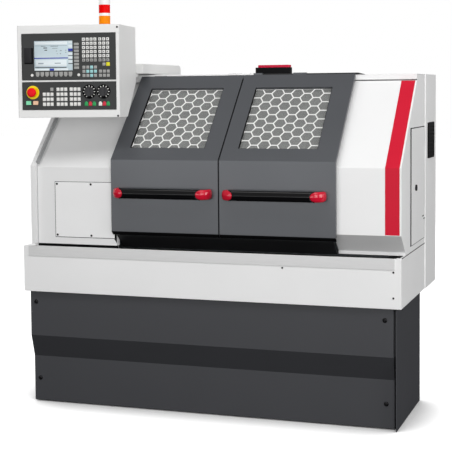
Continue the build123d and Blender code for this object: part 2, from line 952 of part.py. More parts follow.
# Quill with its live centre
quill_x = tailstock_x[0] - quill_overhang
with BuildPart() as quill:
    rod(on_spindle(quill_x + quill_tip), quill_d, quill_length - quill_tip)
    with BuildSketch(Plane(origin=(0, bed_y, spindle_height), x_dir=(1, 0, 0), z_dir=(0, -1, 0))):
        with BuildLine():
            Polyline(
                (quill_x, 0),
                (quill_x + quill_tip, 0),
                (quill_x + quill_tip, quill_tip / sqrt(3)),
                close=True,
            )
        make_face()
    revolve(axis=Axis((0, bed_y, spindle_height), (1, 0, 0)))
save(quill.part, "quill")

# Handwheel behind the tailstock
wheel_x = tailstock_x[1] + handwheel_gap
with BuildPart() as quill_handwheel:
    with BuildSketch(on_spindle(wheel_x)):
        Circle(handwheel_d / 2)
        Circle(handwheel_d / 2 - handwheel_rim, mode=Mode.SUBTRACT)
        with PolarLocations(0, 3):
            with Locations((handwheel_d / 4, 0)):
                Rectangle(handwheel_d / 2 - handwheel_rim, handwheel_spoke)
    extrude(amount=handwheel_width)
    rod(on_spindle(tailstock_x[1] + fit_gap), handwheel_hub_d, handwheel_gap + handwheel_width - fit_gap)
    rod(on_spindle(quill_bore_end), hand_shaft_d, tailstock_back_wall + handwheel_gap)
save(quill_handwheel.part, "quill_handwheel")

# Left cover: folded front with a proud edge flange, and the end wall over the belt
left_x0 = along(left_cover_start)
left_x1 = along(left_cover_end)
left_face_y = behind(cover_face)
roof_y = behind(roof_front)
rear_y = back_y - sheet
left_path = [
    (left_face_y + left_foot_step, tray_top),
    (left_face_y + left_foot_step, tray_top + left_foot_height),
    (left_face_y, tray_top + left_foot_height),
    (left_face_y, left_fold),
    (left_face_y + left_top - left_fold, left_top),
]
flange_path = [
    (left_face_y - flange_proud, tray_top + left_foot_height),
    (left_face_y - flange_proud, left_fold + flange_proud * (sqrt(2) - 1)),
    (left_face_y - flange_proud + left_top - left_fold, left_top + flange_proud * (sqrt(2) - 1)),
]
left_wall_outline = left_path + [
    (roof_y + roof_wall_step, left_top),
    (roof_y + roof_wall_step, wall_top - sheet),
    (rear_y, wall_top - sheet),
    (rear_y, tray_top),
]
with BuildPart() as left_cover:
    with BuildSketch(side_plane(left_x0)):
        with BuildLine():
            Polyline(*folded(left_path, sheet), close=True)
        make_face()
    extrude(amount=left_x1 - left_x0)
    with BuildSketch(side_plane(left_x0)):
        with BuildLine():
            Polyline(*folded(flange_path, flange_proud), close=True)
        make_face()
    extrude(amount=flange_width)
    with BuildSketch(side_plane(left_x0)):
        with BuildLine():
            Polyline(*left_wall_outline, close=True)
        make_face()
        with Locations((bed_y, spindle_height)):
            Circle(bar_hole_d / 2, mode=Mode.SUBTRACT)
    extrude(amount=sheet)
    with BuildSketch(side_plane(left_x1 - sheet)):
        with BuildLine():
            Polyline(*folded(left_path[2:], cover_return), close=True)
        make_face()
    extrude(amount=sheet)
save(left_cover.part, "left_cover")

# Access plate screwed to the left cover
with BuildPart() as left_access_plate:
    block(
        (along(plate_start), along(plate_start + plate_width)),
        (left_face_y - plate_thickness, left_face_y),
        (plate_low, plate_low + plate_height),
    )
save(left_access_plate.part, "left_access_plate")

# Right cover: folded front with a slanted underside, and the end wall with the hatch opening
right_x0 = along(right_cover_start)
right_path = [
    (behind(right_under_y), tray_top),
    (behind(right_under_y), right_under_z),
    (left_face_y, right_low_fold),
    (left_face_y, right_fold),
    (left_face_y + left_top - right_fold, left_top),
]
right_wall_outline = right_path[1:] + [
    (roof_y + roof_wall_step, left_top),
    (roof_y + roof_wall_step, wall_top - sheet),
    (rear_y, wall_top - sheet),
    (rear_y, tray_top),
    (behind(right_under_y), tray_top),
]
hatch_y = (behind(hatch_front), behind(hatch_back))
with BuildPart() as right_cover:
    with BuildSketch(side_plane(right_x0)):
        with BuildLine():
            Polyline(*folded(right_path, sheet), close=True)
        make_face()
    extrude(amount=right_x - right_x0)
    with BuildSketch(side_plane(right_x - sheet)):
        with BuildLine():
            Polyline(*right_wall_outline, close=True)
        make_face()
        with Locations(((hatch_y[0] + hatch_y[1]) / 2, (hatch_low + hatch_top) / 2)):
            Rectangle(
                hatch_y[1] - hatch_y[0] - 2 * hatch_lap,
                hatch_top - hatch_low - 2 * hatch_lap,
                mode=Mode.SUBTRACT,
            )
    extrude(amount=sheet)
    with BuildSketch(side_plane(right_x0)):
        with BuildLine():
            Polyline(*folded(right_path[1:], cover_return), close=True)
        make_face()
    extrude(amount=sheet)
save(right_cover.part, "right_cover")

# Rear wall and roof of the enclosure
with BuildPart() as rear_wall:
    block((left_x0, right_x), (rear_y, back_y), (tray_top, wall_top - sheet))
save(rear_wall.part, "rear_wall")

with BuildPart() as roof_panel:
    block((left_x0, right_x), (roof_y, back_y), (wall_top - sheet, wall_top))
    block((left_x0, right_x), (roof_y, roof_y + sheet), (wall_top - roof_lip, wall_top - sheet))
save(roof_panel.part, "roof_panel")

# Side hatch: leaf with two hinge barrels at the back edge, and a turning lock
hatch_x = (right_x + fit_gap, right_x + fit_gap + hatch_thickness)
hatch_hinge = (hatch_x[1], hatch_y[1])
lock_plane = Plane(origin=(hatch_x[0], behind(lock_y), lock_z), x_dir=(0, 1, 0), z_dir=(1, 0, 0))
with BuildPart() as side_hatch:
    block(hatch_x, hatch_y, (hatch_low, hatch_top))
    for barrel_z in hinge_levels(hatch_low, hatch_top):
        rod(
            Plane(origin=(*hatch_hinge, barrel_z - hinge_barrel_length / 2)),
            hinge_barrel_d,
            hinge_barrel_length,
        )
    rod(lock_plane, lock_stem_d + 2 * shaft_gap, hatch_thickness, Mode.SUBTRACT)
save(side_hatch.part, "side_hatch")

with BuildPart() as hatch_lock:
    rod(lock_plane, lock_stem_d, hatch_thickness + fit_gap)
    rod(lock_plane.offset(hatch_thickness + fit_gap), lock_d, lock_head)
save(hatch_lock.part, "hatch_lock")

# Electrical cabinet: box open to the back, with drives on its mounting plate
cabinet_x = (along(cabinet_start), right_x + cabinet_proud)
cabinet_rear = behind(cabinet_back)
with BuildPart() as electrical_cabinet:
    block(cabinet_x, (back_y, cabinet_rear), (base_height, wall_top))
    block(
        (cabinet_x[0] + sheet, cabinet_x[1] - sheet),
        (back_y + sheet, cabinet_rear - sheet),
        (base_height + sheet, wall_top - sheet),
        mode=Mode.SUBTRACT,
    )
    block(
        (cabinet_x[0] + cabinet_flange, cabinet_x[1] - cabinet_flange),
        (cabinet_rear - sheet - overrun, cabinet_rear + overrun),
        (base_height + cabinet_flange, wall_top - cabinet_flange),
        mode=Mode.SUBTRACT,
    )
    block(
        (cabinet_x[0] + mount_plate_inset, cabinet_x[1] - mount_plate_inset),
        (back_y + sheet, back_y + sheet + mount_plate),
        (base_height + mount_plate_inset, wall_top - mount_plate_inset),
    )
    for i in range(drive_count):
        drive_x = cabinet_x[0] + 2 * mount_plate_inset + i * drive_pitch
        block(
            (drive_x, drive_x + drive_width),
            (back_y + sheet + mount_plate, back_y + sheet + mount_plate + drive_depth),
            (drive_low, drive_low + drive_height),
        )
save(electrical_cabinet.part, "electrical_cabinet")

# Cabinet door on the back, with its latch and hinge barrels
door_y = (cabinet_rear + fit_gap, cabinet_rear + cabinet_door_depth)
latch_x = cabinet_x[1] - latch_inset
with BuildPart() as cabinet_door:
    block(
        cabinet_x,
        door_y,
        (base_height + cabinet_door_gap, wall_top - cabinet_door_gap),
    )
    block(
        (cabinet_x[0] + sheet, cabinet_x[1] - sheet),
        (door_y[0] - overrun, door_y[1] - sheet),
        (base_height + cabinet_door_gap + sheet, wall_top - cabinet_door_gap - sheet),
        mode=Mode.SUBTRACT,
    )
    latch_at = (latch_x, door_y[1], (base_height + wall_top) / 2)
    rod(Plane(origin=latch_at, x_dir=(1, 0, 0), z_dir=(0, 1, 0)), latch_d, latch_proud)
    for barrel_z in hinge_levels(base_height, wall_top):
        barrel_at = (cabinet_x[0], door_y[1], barrel_z - cabinet_barrel_length / 2)
        rod(Plane(origin=barrel_at), cabinet_barrel_d, cabinet_barrel_length)
save(cabinet_door.part, "cabinet_door")

# Louvred filter on the cabinet's right side
grille_pitch = (grille_size - 2 * grille_frame) / grille_slot_count
with BuildPart() as filter_grille:
    with BuildSketch(side_plane(cabinet_x[1])):
        with Locations((behind(grille_y), grille_z)):
            RectangleRounded(grille_size, grille_size, grille_frame / 2)
    extrude(amount=grille_proud)
    with BuildSketch(side_plane(cabinet_x[1] + grille_proud)):
        with Locations((behind(grille_y), grille_z)):
            with GridLocations(0, grille_pitch, 1, grille_slot_count):
                Rectangle(grille_size - 2 * grille_frame, grille_slot)
    extrude(amount=-grille_slot_depth, mode=Mode.SUBTRACT)
save(filter_grille.part, "filter_grille")

# Rail over the doors, on the roof's front edge, and the sill under the doors
sill_path = [
    (behind(sill_foot_y), tray_top),
    (behind(sill_top_y), sill_top_z),
]
with BuildPart() as door_rails:
    with BuildSketch(front_plane(behind(rail_front))):
        with BuildLine():
            Polyline(
                (along(rail_start), wall_top),
                (along(rail_start), wall_top + rail_height),
                (along(rail_end - rail_slant), wall_top + rail_height),
                (along(rail_end), wall_top),
                close=True,
            )
        make_face()
    extrude(amount=-rail_depth)
    with BuildSketch(side_plane(left_x1)):
        with BuildLine():
            Polyline(*folded(sill_path, sheet), close=True)
        make_face()
    extrude(amount=right_x0 - left_x1)
save(door_rails.part, "door_rails")

# Sliding doors: folded pans hung on the rail, each with a window, its guard, pane and handle
door_face_y = behind(door_face)
half_root = 1 / sqrt(2)
door_outer = [
    (door_face_y, door_low_fold),
    (door_face_y, door_high_fold),
    (behind(door_top_y), door_top),
]
door_path = (
    [(door_face_y + door_return, door_low_fold - door_return)]
    + door_outer
    + [(behind(door_top_y) + door_return * half_root, door_top - door_return * half_root)]
)
rail_y = behind(rail_front)
hook_z = wall_top + rail_height + fit_gap
window_centre = window_low + window_length / 2
half_tall = handle_tall / 2
shoulder = handle_depth - handle_ridge
handle_outline = [
    (0, half_tall - handle_chamfer),
    (handle_chamfer, half_tall),
    (shoulder - handle_chamfer, half_tall),
    (shoulder, half_tall - handle_chamfer),
    (handle_depth, 0),
    (shoulder, handle_chamfer - half_tall),
    (shoulder - handle_chamfer, -half_tall),
    (handle_chamfer, -half_tall),
    (0, handle_chamfer - half_tall),
]
bar_back = door_face_y - handle_standoff + handle_depth
bend_axis_y = door_face_y - handle_standoff + handle_bend


def incline(x, depth):
    """Plane on a door's slope: local X along the door, local Y up the slope, depth behind the skin."""
    return Plane(
        origin=(x, door_face_y + depth * half_root, door_high_fold - depth * half_root),
        x_dir=(1, 0, 0),
        z_dir=(0, -half_root, half_root),
    )


doors = (
    ("left", -1, along(left_door_start), along(door_seam) - door_seam_gap / 2, left_hanger_shares),
    ("right", 1, along(door_seam) + door_seam_gap / 2, along(right_door_end), right_hanger_shares),
)
for side, hand, door_x0, door_x1, hanger_shares in doors:
    window_x = door_x0 + window_margin + window_width / 2
    with BuildPart() as door:
        with BuildSketch(side_plane(door_x0)):
            with BuildLine():
                Polyline(*folded(door_path, sheet), close=True)
            make_face()
        extrude(amount=door_x1 - door_x0)
        for return_x in (door_x0, door_x1 - sheet):
            with BuildSketch(side_plane(return_x)):
                with BuildLine():
                    Polyline(*folded(door_outer, door_return), close=True)
                make_face()
            extrude(amount=sheet)
        with BuildSketch(incline(window_x, 0)):
            with Locations((0, window_centre)):
                Rectangle(window_width, window_length)
        extrude(amount=-overrun, mode=Mode.SUBTRACT)
        with BuildSketch(incline(window_x, sheet)):
            with Locations((0, window_centre)):
                Rectangle(window_width + 2 * sheet, window_length + 2 * sheet)
                Rectangle(window_width, window_length, mode=Mode.SUBTRACT)
        extrude(amount=-window_lip)
        for hanger_share in hanger_shares:
            hanger_x0 = door_x0 + hanger_share * (door_x1 - door_x0)
            hanger_x = (hanger_x0, hanger_x0 + hanger_length)
            hook_front = rail_y - fit_gap - sheet
            hanger_z = (door_top - door_return * half_root, hook_z + sheet)
            block(hanger_x, (hook_front, hook_front + sheet), hanger_z)
            block(hanger_x, (hook_front, rail_y + hanger_hook), (hook_z, hook_z + sheet))
    save(door.part, f"{side}_door")

    # Hexagon guard behind the window opening, its pattern mirrored from door to door
    column_pitch = 1.5 * hex_side
    row_pitch = sqrt(3) * hex_side
    columns = int(window_width / column_pitch / 2) + 2
    rows = int(window_length / row_pitch / 2) + 2
    hex_start = (hand * hex_shift, window_centre + hex_lift)
    hex_centres = [
        (hex_start[0] + i * column_pitch, hex_start[1] + (j + (i % 2) / 2) * row_pitch)
        for i in range(-columns, columns + 1)
        for j in range(-rows, rows + 1)
    ]
    with BuildPart() as guard:
        with BuildSketch(incline(window_x, sheet + window_lip)):
            with Locations((0, window_centre)):
                Rectangle(window_width + 2 * guard_lap, window_length + 2 * guard_lap)
            with BuildSketch(mode=Mode.PRIVATE) as hex_holes:
                with Locations(*hex_centres):
                    RegularPolygon(hex_side - hex_bar / sqrt(3), 6)
                with Locations((0, window_centre)):
                    Rectangle(window_width, window_length, mode=Mode.INTERSECT)
            add(hex_holes.sketch, mode=Mode.SUBTRACT)
        extrude(amount=-guard_thickness)
    save(guard.part, f"{side}_window_guard")

    # Clear pane behind the guard
    with BuildPart() as pane:
        with BuildSketch(incline(window_x, sheet + window_lip + guard_thickness)):
            with Locations((0, window_centre)):
                Rectangle(window_width + 2 * guard_lap, window_length + 2 * guard_lap)
        extrude(amount=-pane_thickness)
    save(pane.part, f"{side}_window_pane")

    # Handle: ridged bar bent back to the door at both ends, cut where the end caps' tongues reach in
    handle_x = (door_x0 + handle_inset, door_x0 + handle_inset + handle_length)
    bar_x = (handle_x[0] + handle_bend, handle_x[1] - handle_bend)
    with BuildPart() as handle:
        with BuildSketch(Plane((bar_x[0], bar_back, handle_height), (0, -1, 0), (1, 0, 0))):
            with BuildLine():
                Polyline(*handle_outline, close=True)
            make_face()
        extrude(amount=bar_x[1] - bar_x[0])
        for end_x, outwards in ((bar_x[0], -1), (bar_x[1], 1)):
            with BuildSketch(Plane((end_x, bar_back, handle_height), (0, -1, 0), (1, 0, 0))):
                with BuildLine():
                    Polyline(*handle_outline, close=True)
                make_face()
            revolve(axis=Axis((end_x, bend_axis_y, handle_height), (0, 0, 1)), revolution_arc=90 * outwards)
            leg_x = end_x + outwards * (handle_bend - handle_depth)
            with BuildSketch(Plane((leg_x, door_face_y, handle_height), (outwards, 0, 0), (0, -1, 0))):
                with BuildLine():
                    Polyline(*handle_outline, close=True)
                make_face()
            extrude(amount=handle_standoff - handle_bend)

    with BuildPart() as cap_zone:
        with BuildSketch(front_plane(door_face_y)):
            for end_x, outwards in zip(handle_x, (-1, 1)):
                root_x = end_x - outwards * handle_cap
                with Locations((root_x, handle_height)):
                    Ellipse(handle_tongue, half_tall + handle_tongue_rise)
                with Locations((root_x + outwards * handle_standoff / 2, handle_height)):
                    Rectangle(handle_standoff, 2 * handle_tall)
        extrude(amount=handle_standoff + overrun)

    with BuildPart() as bar:
        add(handle.part)
        add(cap_zone.part, mode=Mode.SUBTRACT)
    save(bar.part, f"{side}_handle_bar")

    with BuildPart() as handle_ends:
        add(handle.part)
        add(cap_zone.part, mode=Mode.INTERSECT)
    save(handle_ends.part, f"{side}_handle_ends")

# Door interlock: switch body on the roof behind the rail, with a smaller cap on top
with BuildPart() as interlock_switch:
    block(
        (along(interlock_start), along(interlock_start + interlock_length)),
        (behind(interlock_front), behind(interlock_front + interlock_depth)),
        (wall_top, wall_top + interlock_body),
    )
    block(
        (
            along(interlock_start + interlock_cap_inset),
            along(interlock_start + interlock_length - interlock_cap_inset),
        ),
        (behind(interlock_front), behind(interlock_front + interlock_depth)),
        (wall_top + interlock_body, wall_top + interlock_body + interlock_cap),
    )
save(interlock_switch.part, "interlock_switch")

# Console arm: slim cantilever with a foot on the roof and a swivel pin at its front end
pivot = (along(arm_pivot_x), behind(arm_pivot_y))
arm_x = (along(arm_start), along(arm_start + arm_width))
with BuildPart() as console_arm:
    with BuildSketch(side_plane(arm_x[0])):
        with BuildLine():
            Polyline(
                (behind(arm_front), arm_under),
                (behind(arm_foot_front), arm_under),
                (behind(arm_foot_front), wall_top),
                (behind(arm_end), wall_top),
                (behind(arm_end), arm_top),
                (behind(arm_front), arm_top),
                close=True,
            )
        make_face()
    extrude(amount=arm_width)
    fillet(console_arm.edges().filter_by(Axis.X).group_by(Axis.Y)[-1].sort_by(Axis.Z)[-1], arm_end_round)
    rod(Plane(origin=(*pivot, arm_under)), 2 * lug_radius, arm_top - arm_under)
    rod(Plane(origin=(*pivot, arm_under - lug_thickness - 2 * fit_gap)), pin_d, lug_thickness + 2 * fit_gap)
    rod(Plane(origin=(*pivot, arm_under - lug_thickness - 2 * fit_gap - pin_head)), pin_head_d, pin_head)
save(console_arm.part, "console_arm")

# Console housing: deep box with a slanted lower back, two panel recesses and a swivel lug
turn = radians(console_turn)
console_along = (cos(turn), sin(turn), 0)
console_inward = (-sin(turn), cos(turn), 0)
console_corner = (along(console_x), behind(console_y), console_low)
console_side = Plane(origin=console_corner, x_dir=console_inward, z_dir=console_along)
console_front = Plane(origin=console_corner, x_dir=console_along, z_dir=(sin(turn), -cos(turn), 0))
console_plan = Plane(origin=console_corner, x_dir=console_along, z_dir=(0, 0, 1))
panel_mid_x = panel_left + panel_width / 2
operator_mid = console_height - panel_drop - operator_panel_height / 2
machine_top = console_height - panel_drop - operator_panel_height - panel_gap
machine_mid = machine_top - machine_panel_height / 2
panels = (
    ("operator", operator_mid, operator_panel_height),
    ("machine", machine_mid, machine_panel_height),
)
pivot_step = (pivot[0] - console_corner[0], pivot[1] - console_corner[1])
lug_along = pivot_step[0] * cos(turn) + pivot_step[1] * sin(turn)
lug_inward = pivot_step[1] * cos(turn) - pivot_step[0] * sin(turn)
lug_low = arm_under - lug_thickness - fit_gap - console_low
with BuildPart() as console_housing:
    with BuildSketch(console_side):
        with BuildLine():
            Polyline(
                (0, 0),
                (0, console_height),
                (console_depth, console_height),
                (console_depth, console_depth - console_foot_depth),
                (console_foot_depth, 0),
                close=True,
            )
        make_face()
    extrude(amount=console_width)
    fillet(console_housing.edges().filter_by(Axis.Z).group_by(Axis.Y)[0], console_round)
    for _, panel_mid, panel_height in panels:
        with BuildSketch(console_front):
            with Locations((panel_mid_x, panel_mid)):
                Rectangle(panel_width + 2 * fit_gap, panel_height + 2 * fit_gap)
        extrude(amount=-panel_recess, mode=Mode.SUBTRACT)
    with BuildSketch(console_front.offset(-panel_recess)):
        with Locations((panel_mid_x, machine_mid)):
            Rectangle(panel_width - 2 * pocket_margin, machine_panel_height - 2 * pocket_margin)
    extrude(amount=-pocket_depth, mode=Mode.SUBTRACT)
    with BuildSketch(console_plan.offset(lug_low)):
        with Locations((lug_along, lug_inward)):
            Circle(lug_radius)
        with Locations((lug_along, (lug_inward + console_depth) / 2 - lug_radius / 2)):
            Rectangle(2 * lug_radius, lug_inward - console_depth + lug_radius)
        with Locations((lug_along, lug_inward)):
            Circle(pin_d / 2 + shaft_gap, mode=Mode.SUBTRACT)
    extrude(amount=lug_thickness)
save(console_housing.part, "console_housing")

# Operator panel: one moulded unit with a sunk screen
panel_thickness = panel_recess + panel_proud
with BuildPart() as operator_panel:
    with BuildSketch(console_front.offset(-panel_recess)):
        with Locations((panel_mid_x, operator_mid)):
            RectangleRounded(panel_width, operator_panel_height, panel_round)
    extrude(amount=panel_thickness)
    with BuildSketch(console_front.offset(panel_proud)):
        with Locations(
            (
                panel_left + screen_left + screen_width / 2,
                operator_mid + operator_panel_height / 2 - screen_drop - screen_height / 2,
            )
        ):
            Rectangle(screen_width, screen_height)
    extrude(amount=-screen_recess, mode=Mode.SUBTRACT)
save(operator_panel.part, "operator_panel")


def on_machine_panel(x, drop):
    """Place on the console front, from the machine panel's top left corner."""
    return (panel_left + x, machine_top - drop)


# Machine panel: plate with holes for the stop head, two buttons and two knobs
estop_at = on_machine_panel(estop_x, estop_drop)
button_places = {
    "start": on_machine_panel(start_x, button_drop),
    "stop": on_machine_panel(stop_x, button_drop),
}
knob_places = {"feed": on_machine_panel(feed_x, knob_drop), "speed": on_machine_panel(speed_x, knob_drop)}
with BuildPart() as machine_panel:
    with BuildSketch(console_front.offset(-panel_recess)):
        with Locations((panel_mid_x, machine_mid)):
            RectangleRounded(panel_width, machine_panel_height, panel_round)
        with Locations(estop_at):
            Circle(estop_stem_d / 2 + fit_gap, mode=Mode.SUBTRACT)
        with Locations(*button_places.values()):
            Rectangle(button_width + 2 * fit_gap, button_height + 2 * fit_gap, mode=Mode.SUBTRACT)
        with Locations(*knob_places.values()):
            Circle(knob_shaft_d / 2 + shaft_gap, mode=Mode.SUBTRACT)
    extrude(amount=panel_thickness)
save(machine_panel.part, "machine_panel")

# Emergency stop: mushroom head on a stem
with BuildPart() as emergency_stop:
    with BuildSketch(console_front.offset(-press_depth)):
        with Locations(estop_at):
            Circle(estop_stem_d / 2)
    extrude(amount=press_depth + panel_proud + estop_stand)
    with BuildSketch(console_front.offset(panel_proud + estop_stand)):
        with Locations(estop_at):
            Circle(estop_d / 2)
    extrude(amount=estop_head)
    chamfer(
        emergency_stop.edges().filter_by(GeomType.CIRCLE).group_by(Axis.Y)[0].sort_by(SortBy.RADIUS)[-1],
        estop_chamfer,
    )
save(emergency_stop.part, "emergency_stop")

# Two push buttons that slide in square holes
for name, place in button_places.items():
    with BuildPart() as button:
        with BuildSketch(console_front.offset(-press_depth)):
            with Locations(place):
                Rectangle(button_width, button_height)
        extrude(amount=press_depth + panel_proud + button_proud)
    save(button.part, f"{name}_button")

# Two selector knobs: round skirt with a raised finger grip, on a shaft
for name, place in knob_places.items():
    with BuildPart() as knob:
        with BuildSketch(console_front.offset(-press_depth)):
            with Locations(place):
                Circle(knob_shaft_d / 2)
        extrude(amount=press_depth + panel_proud + fit_gap)
        with BuildSketch(console_front.offset(panel_proud + fit_gap)):
            with Locations(place):
                Circle(knob_d / 2)
        extrude(amount=knob_height / 2)
        with BuildSketch(console_front.offset(panel_proud + fit_gap + knob_height / 2)):
            with Locations(place):
                Rectangle(knob_d * knob_grip_share, knob_d)
                Circle(knob_d / 2, mode=Mode.INTERSECT)
        extrude(amount=knob_height / 2)
    save(knob.part, f"{name}_knob")

# Signal tower on top of the console: foot, two lenses and a bevelled cap
tower_plane = console_plan.offset(console_height)
tower_rings = (tower_foot, tower_lens, tower_lens)
with BuildPart() as signal_tower:
    level = 0
    for ring in tower_rings:
        with BuildSketch(tower_plane.offset(level)):
            with Locations((tower_x, tower_y)):
                Circle(tower_d / 2)
        extrude(amount=ring)
        level += ring
        with BuildSketch(tower_plane.offset(level)):
            with Locations((tower_x, tower_y)):
                Circle(tower_d / 2 - tower_groove_depth)
        extrude(amount=tower_groove)
        level += tower_groove
    with BuildSketch(tower_plane.offset(level)):
        with Locations((tower_x, tower_y)):
            Circle(tower_d / 2)
    extrude(amount=tower_cap)
    chamfer(signal_tower.edges().group_by(Axis.Z)[-1], tower_cap_chamfer)
save(signal_tower.part, "signal_tower")
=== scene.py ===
import math

import bmesh
import bpy
from mathutils import Matrix, Vector


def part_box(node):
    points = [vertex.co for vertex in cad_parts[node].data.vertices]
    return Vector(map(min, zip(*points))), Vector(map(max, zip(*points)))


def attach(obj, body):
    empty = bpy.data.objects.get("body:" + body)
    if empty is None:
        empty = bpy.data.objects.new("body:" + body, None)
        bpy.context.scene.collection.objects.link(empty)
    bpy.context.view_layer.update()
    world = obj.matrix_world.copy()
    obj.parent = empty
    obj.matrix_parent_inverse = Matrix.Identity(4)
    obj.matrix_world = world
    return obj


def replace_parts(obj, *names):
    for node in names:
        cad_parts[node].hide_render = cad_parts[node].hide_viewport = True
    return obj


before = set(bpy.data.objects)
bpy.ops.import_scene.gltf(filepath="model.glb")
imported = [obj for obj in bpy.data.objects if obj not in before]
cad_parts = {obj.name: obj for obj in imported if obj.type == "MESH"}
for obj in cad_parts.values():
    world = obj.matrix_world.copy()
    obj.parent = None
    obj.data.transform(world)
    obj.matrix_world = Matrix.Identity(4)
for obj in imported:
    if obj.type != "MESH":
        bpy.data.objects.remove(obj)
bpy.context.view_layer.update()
scene = bpy.context.scene

# Camera: the machine is seen from the front right, from the height of the doors' tops.
# Eye, angles and focal length were found from the machine's own long edges; the picture is square.
picture_pixels = 452
focal_pixels = 1210.9
principal_pixel = (221.0, 168.3)
sensor_mm = 36.0
eye = Vector((1.7563, -5.0806, 1.3875))
yaw = math.radians(19.2)
pitch = math.radians(-3.6)
roll = math.radians(0.5)
forward = Vector((-math.sin(yaw) * math.cos(pitch), math.cos(yaw) * math.cos(pitch), math.sin(pitch)))
level = Vector((math.cos(yaw), math.sin(yaw), 0))
down = forward.cross(level)
picture_right = math.cos(roll) * level + math.sin(roll) * down
picture_down = math.cos(roll) * down - math.sin(roll) * level
lens = bpy.data.cameras.new("photo_lens")
lens.sensor_width = sensor_mm
lens.lens = sensor_mm * focal_pixels / picture_pixels
lens.shift_x = 0.5 - principal_pixel[0] / picture_pixels
lens.shift_y = principal_pixel[1] / picture_pixels - 0.5
camera = bpy.data.objects.new("photo_camera", lens)
camera_axes = Matrix((picture_right, -picture_down, -forward)).transposed().to_4x4()
camera.matrix_world = Matrix.Translation(eye) @ camera_axes
scene.collection.objects.link(camera)
scene.camera = camera


# Stand: a welded pedestal behind a folded front pan, both in graphite powder coat, with painted shade on the
# faces that look down.
# The pan is held by four black button-head bolts near its corners.
def linear(colour, share=1.0):
    """Linear RGBA of an sRGB hex value, darkened to a share of itself."""
    channels = [int(colour[i:i + 2], 16) / 255 for i in (1, 3, 5)]
    return [share * (c / 12.92 if c <= 0.04045 else ((c + 0.055) / 1.055) ** 2.4) for c in channels] + [1.0]


def add_node(tree, kind, settings=None, links=None):
    """Add a shader node, set its properties and inputs, and link inputs to outputs of other nodes."""
    made = tree.nodes.new(kind)
    for key, value in (settings or {}).items():
        if isinstance(key, str) and hasattr(made, key):
            setattr(made, key, value)
        else:
            made.inputs[key].default_value = value
    for key, output in (links or {}).items():
        tree.links.new(output, made.inputs[key])
    return made


def new_material(name, **sockets):
    """Material with one principled shader whose constant sockets are set by name."""
    material = bpy.data.materials.new(name)
    material.use_nodes = True
    shader = material.node_tree.nodes["Principled BSDF"]
    for key, value in sockets.items():
        shader.inputs[key.replace("_", " ")].default_value = value
    return material, material.node_tree, shader


def add_noise(tree, size_mm, detail, where=None):
    """Noise whose lumps have a size in mm on the object, as a share from 0 to 1."""
    if where is None:
        where = add_node(tree, "ShaderNodeTexCoord").outputs["Object"]
    size = {"Scale": 1000 / size_mm, "Detail": detail}
    return add_node(tree, "ShaderNodeTexNoise", size, {"Vector": where}).outputs["Fac"]


def add_finish(tree, shader, pattern, tones, gloss=None, bump=None):
    """Let a pattern from 0 to 1 drive a shader, and give back the colour.

    Tones are two linear colours, gloss is a range of roughness, bump is a strength and a depth in metres.
    """
    tone = add_node(tree, "ShaderNodeMix", {"data_type": "RGBA", 6: tones[0], 7: tones[1]}, {0: pattern})
    tree.links.new(tone.outputs[2], shader.inputs["Base Color"])
    if gloss:
        ends = {"To Min": gloss[0], "To Max": gloss[1]}
        span = add_node(tree, "ShaderNodeMapRange", ends, {"Value": pattern})
        tree.links.new(span.outputs["Result"], shader.inputs["Roughness"])
    if bump:
        depth = {"Strength": bump[0], "Distance": bump[1]}
        relief = add_node(tree, "ShaderNodeBump", depth, {"Height": pattern})
        tree.links.new(relief.outputs["Normal"], shader.inputs["Normal"])
    return tone.outputs[2]


def powder_coat(name, colour, roughness, peel_mm=5.0, drift_mm=260.0, second=None, flake=0.0, painted_underside_shade=1.0):
    """Powder-coated sheet: an even satin colour with orange peel and a slow drift of tone and gloss.

    The peel is drawn coarse enough to show. Flake is the share of metal in the coat.
    A second colour is given as (hex, height, X end): it lies above the height and left of the X end.
    Painted underside shade is the share of tone kept on faces that look down: a painted shade that darkens
    them.
    A coat that has one is shaded on the true faces, so that shallow folds stay crisp.
    """
    material, tree, shader = new_material(name, IOR=1.5, Metallic=flake)
    where = add_node(tree, "ShaderNodeTexCoord").outputs["Object"]
    drift = add_noise(tree, drift_mm, 3.0, where)
    tones = (linear(colour, 0.93), linear(colour))
    paint = add_finish(tree, shader, drift, tones, (roughness - 0.05, roughness + 0.05))
    peel = add_noise(tree, peel_mm, 2.0, where)
    bump = add_node(tree, "ShaderNodeBump", {"Strength": 0.12, "Distance": 0.0004}, {"Height": peel})
    if second:
        other, height, end_x = second
        place = add_node(tree, "ShaderNodeSeparateXYZ", links={"Vector": where}).outputs
        above = add_node(tree, "ShaderNodeMath", {"operation": "GREATER_THAN", 1: height}, {0: place["Z"]})
        left = add_node(tree, "ShaderNodeMath", {"operation": "LESS_THAN", 1: end_x}, {0: place["X"]})
        both = add_node(
            tree, "ShaderNodeMath", {"operation": "MULTIPLY"}, {0: above.outputs[0], 1: left.outputs[0]}
        )
        paint = add_node(
            tree, "ShaderNodeMix", {"data_type": "RGBA", 7: linear(other)}, {0: both.outputs[0], 6: paint}
        ).outputs[2]
    if painted_underside_shade < 1.0:
        # Painted shade: faces that look down are drawn darker, down to the share of painted underside shade.
        full_z, none_z = -0.1, -0.03  # Z of the normal where the underside's tone is full and where it ends
        face = add_node(tree, "ShaderNodeNewGeometry").outputs["True Normal"]
        tree.links.new(face, bump.inputs["Normal"])
        look = add_node(tree, "ShaderNodeSeparateXYZ", links={"Vector": face})
        painted_shade = add_node(
            tree,
            "ShaderNodeMapRange",
            {"From Min": full_z, "From Max": none_z, "To Min": painted_underside_shade, "To Max": 1.0},
            {"Value": look.outputs["Z"]},
        )
        paint = add_node(
            tree,
            "ShaderNodeMix",
            {"data_type": "RGBA", "blend_type": "MULTIPLY", 0: 1.0},
            {6: paint, 7: painted_shade.outputs["Result"]},
        ).outputs[2]
    tree.links.new(paint, shader.inputs["Base Color"])
    tree.links.new(bump.outputs["Normal"], shader.inputs["Normal"])
    return material


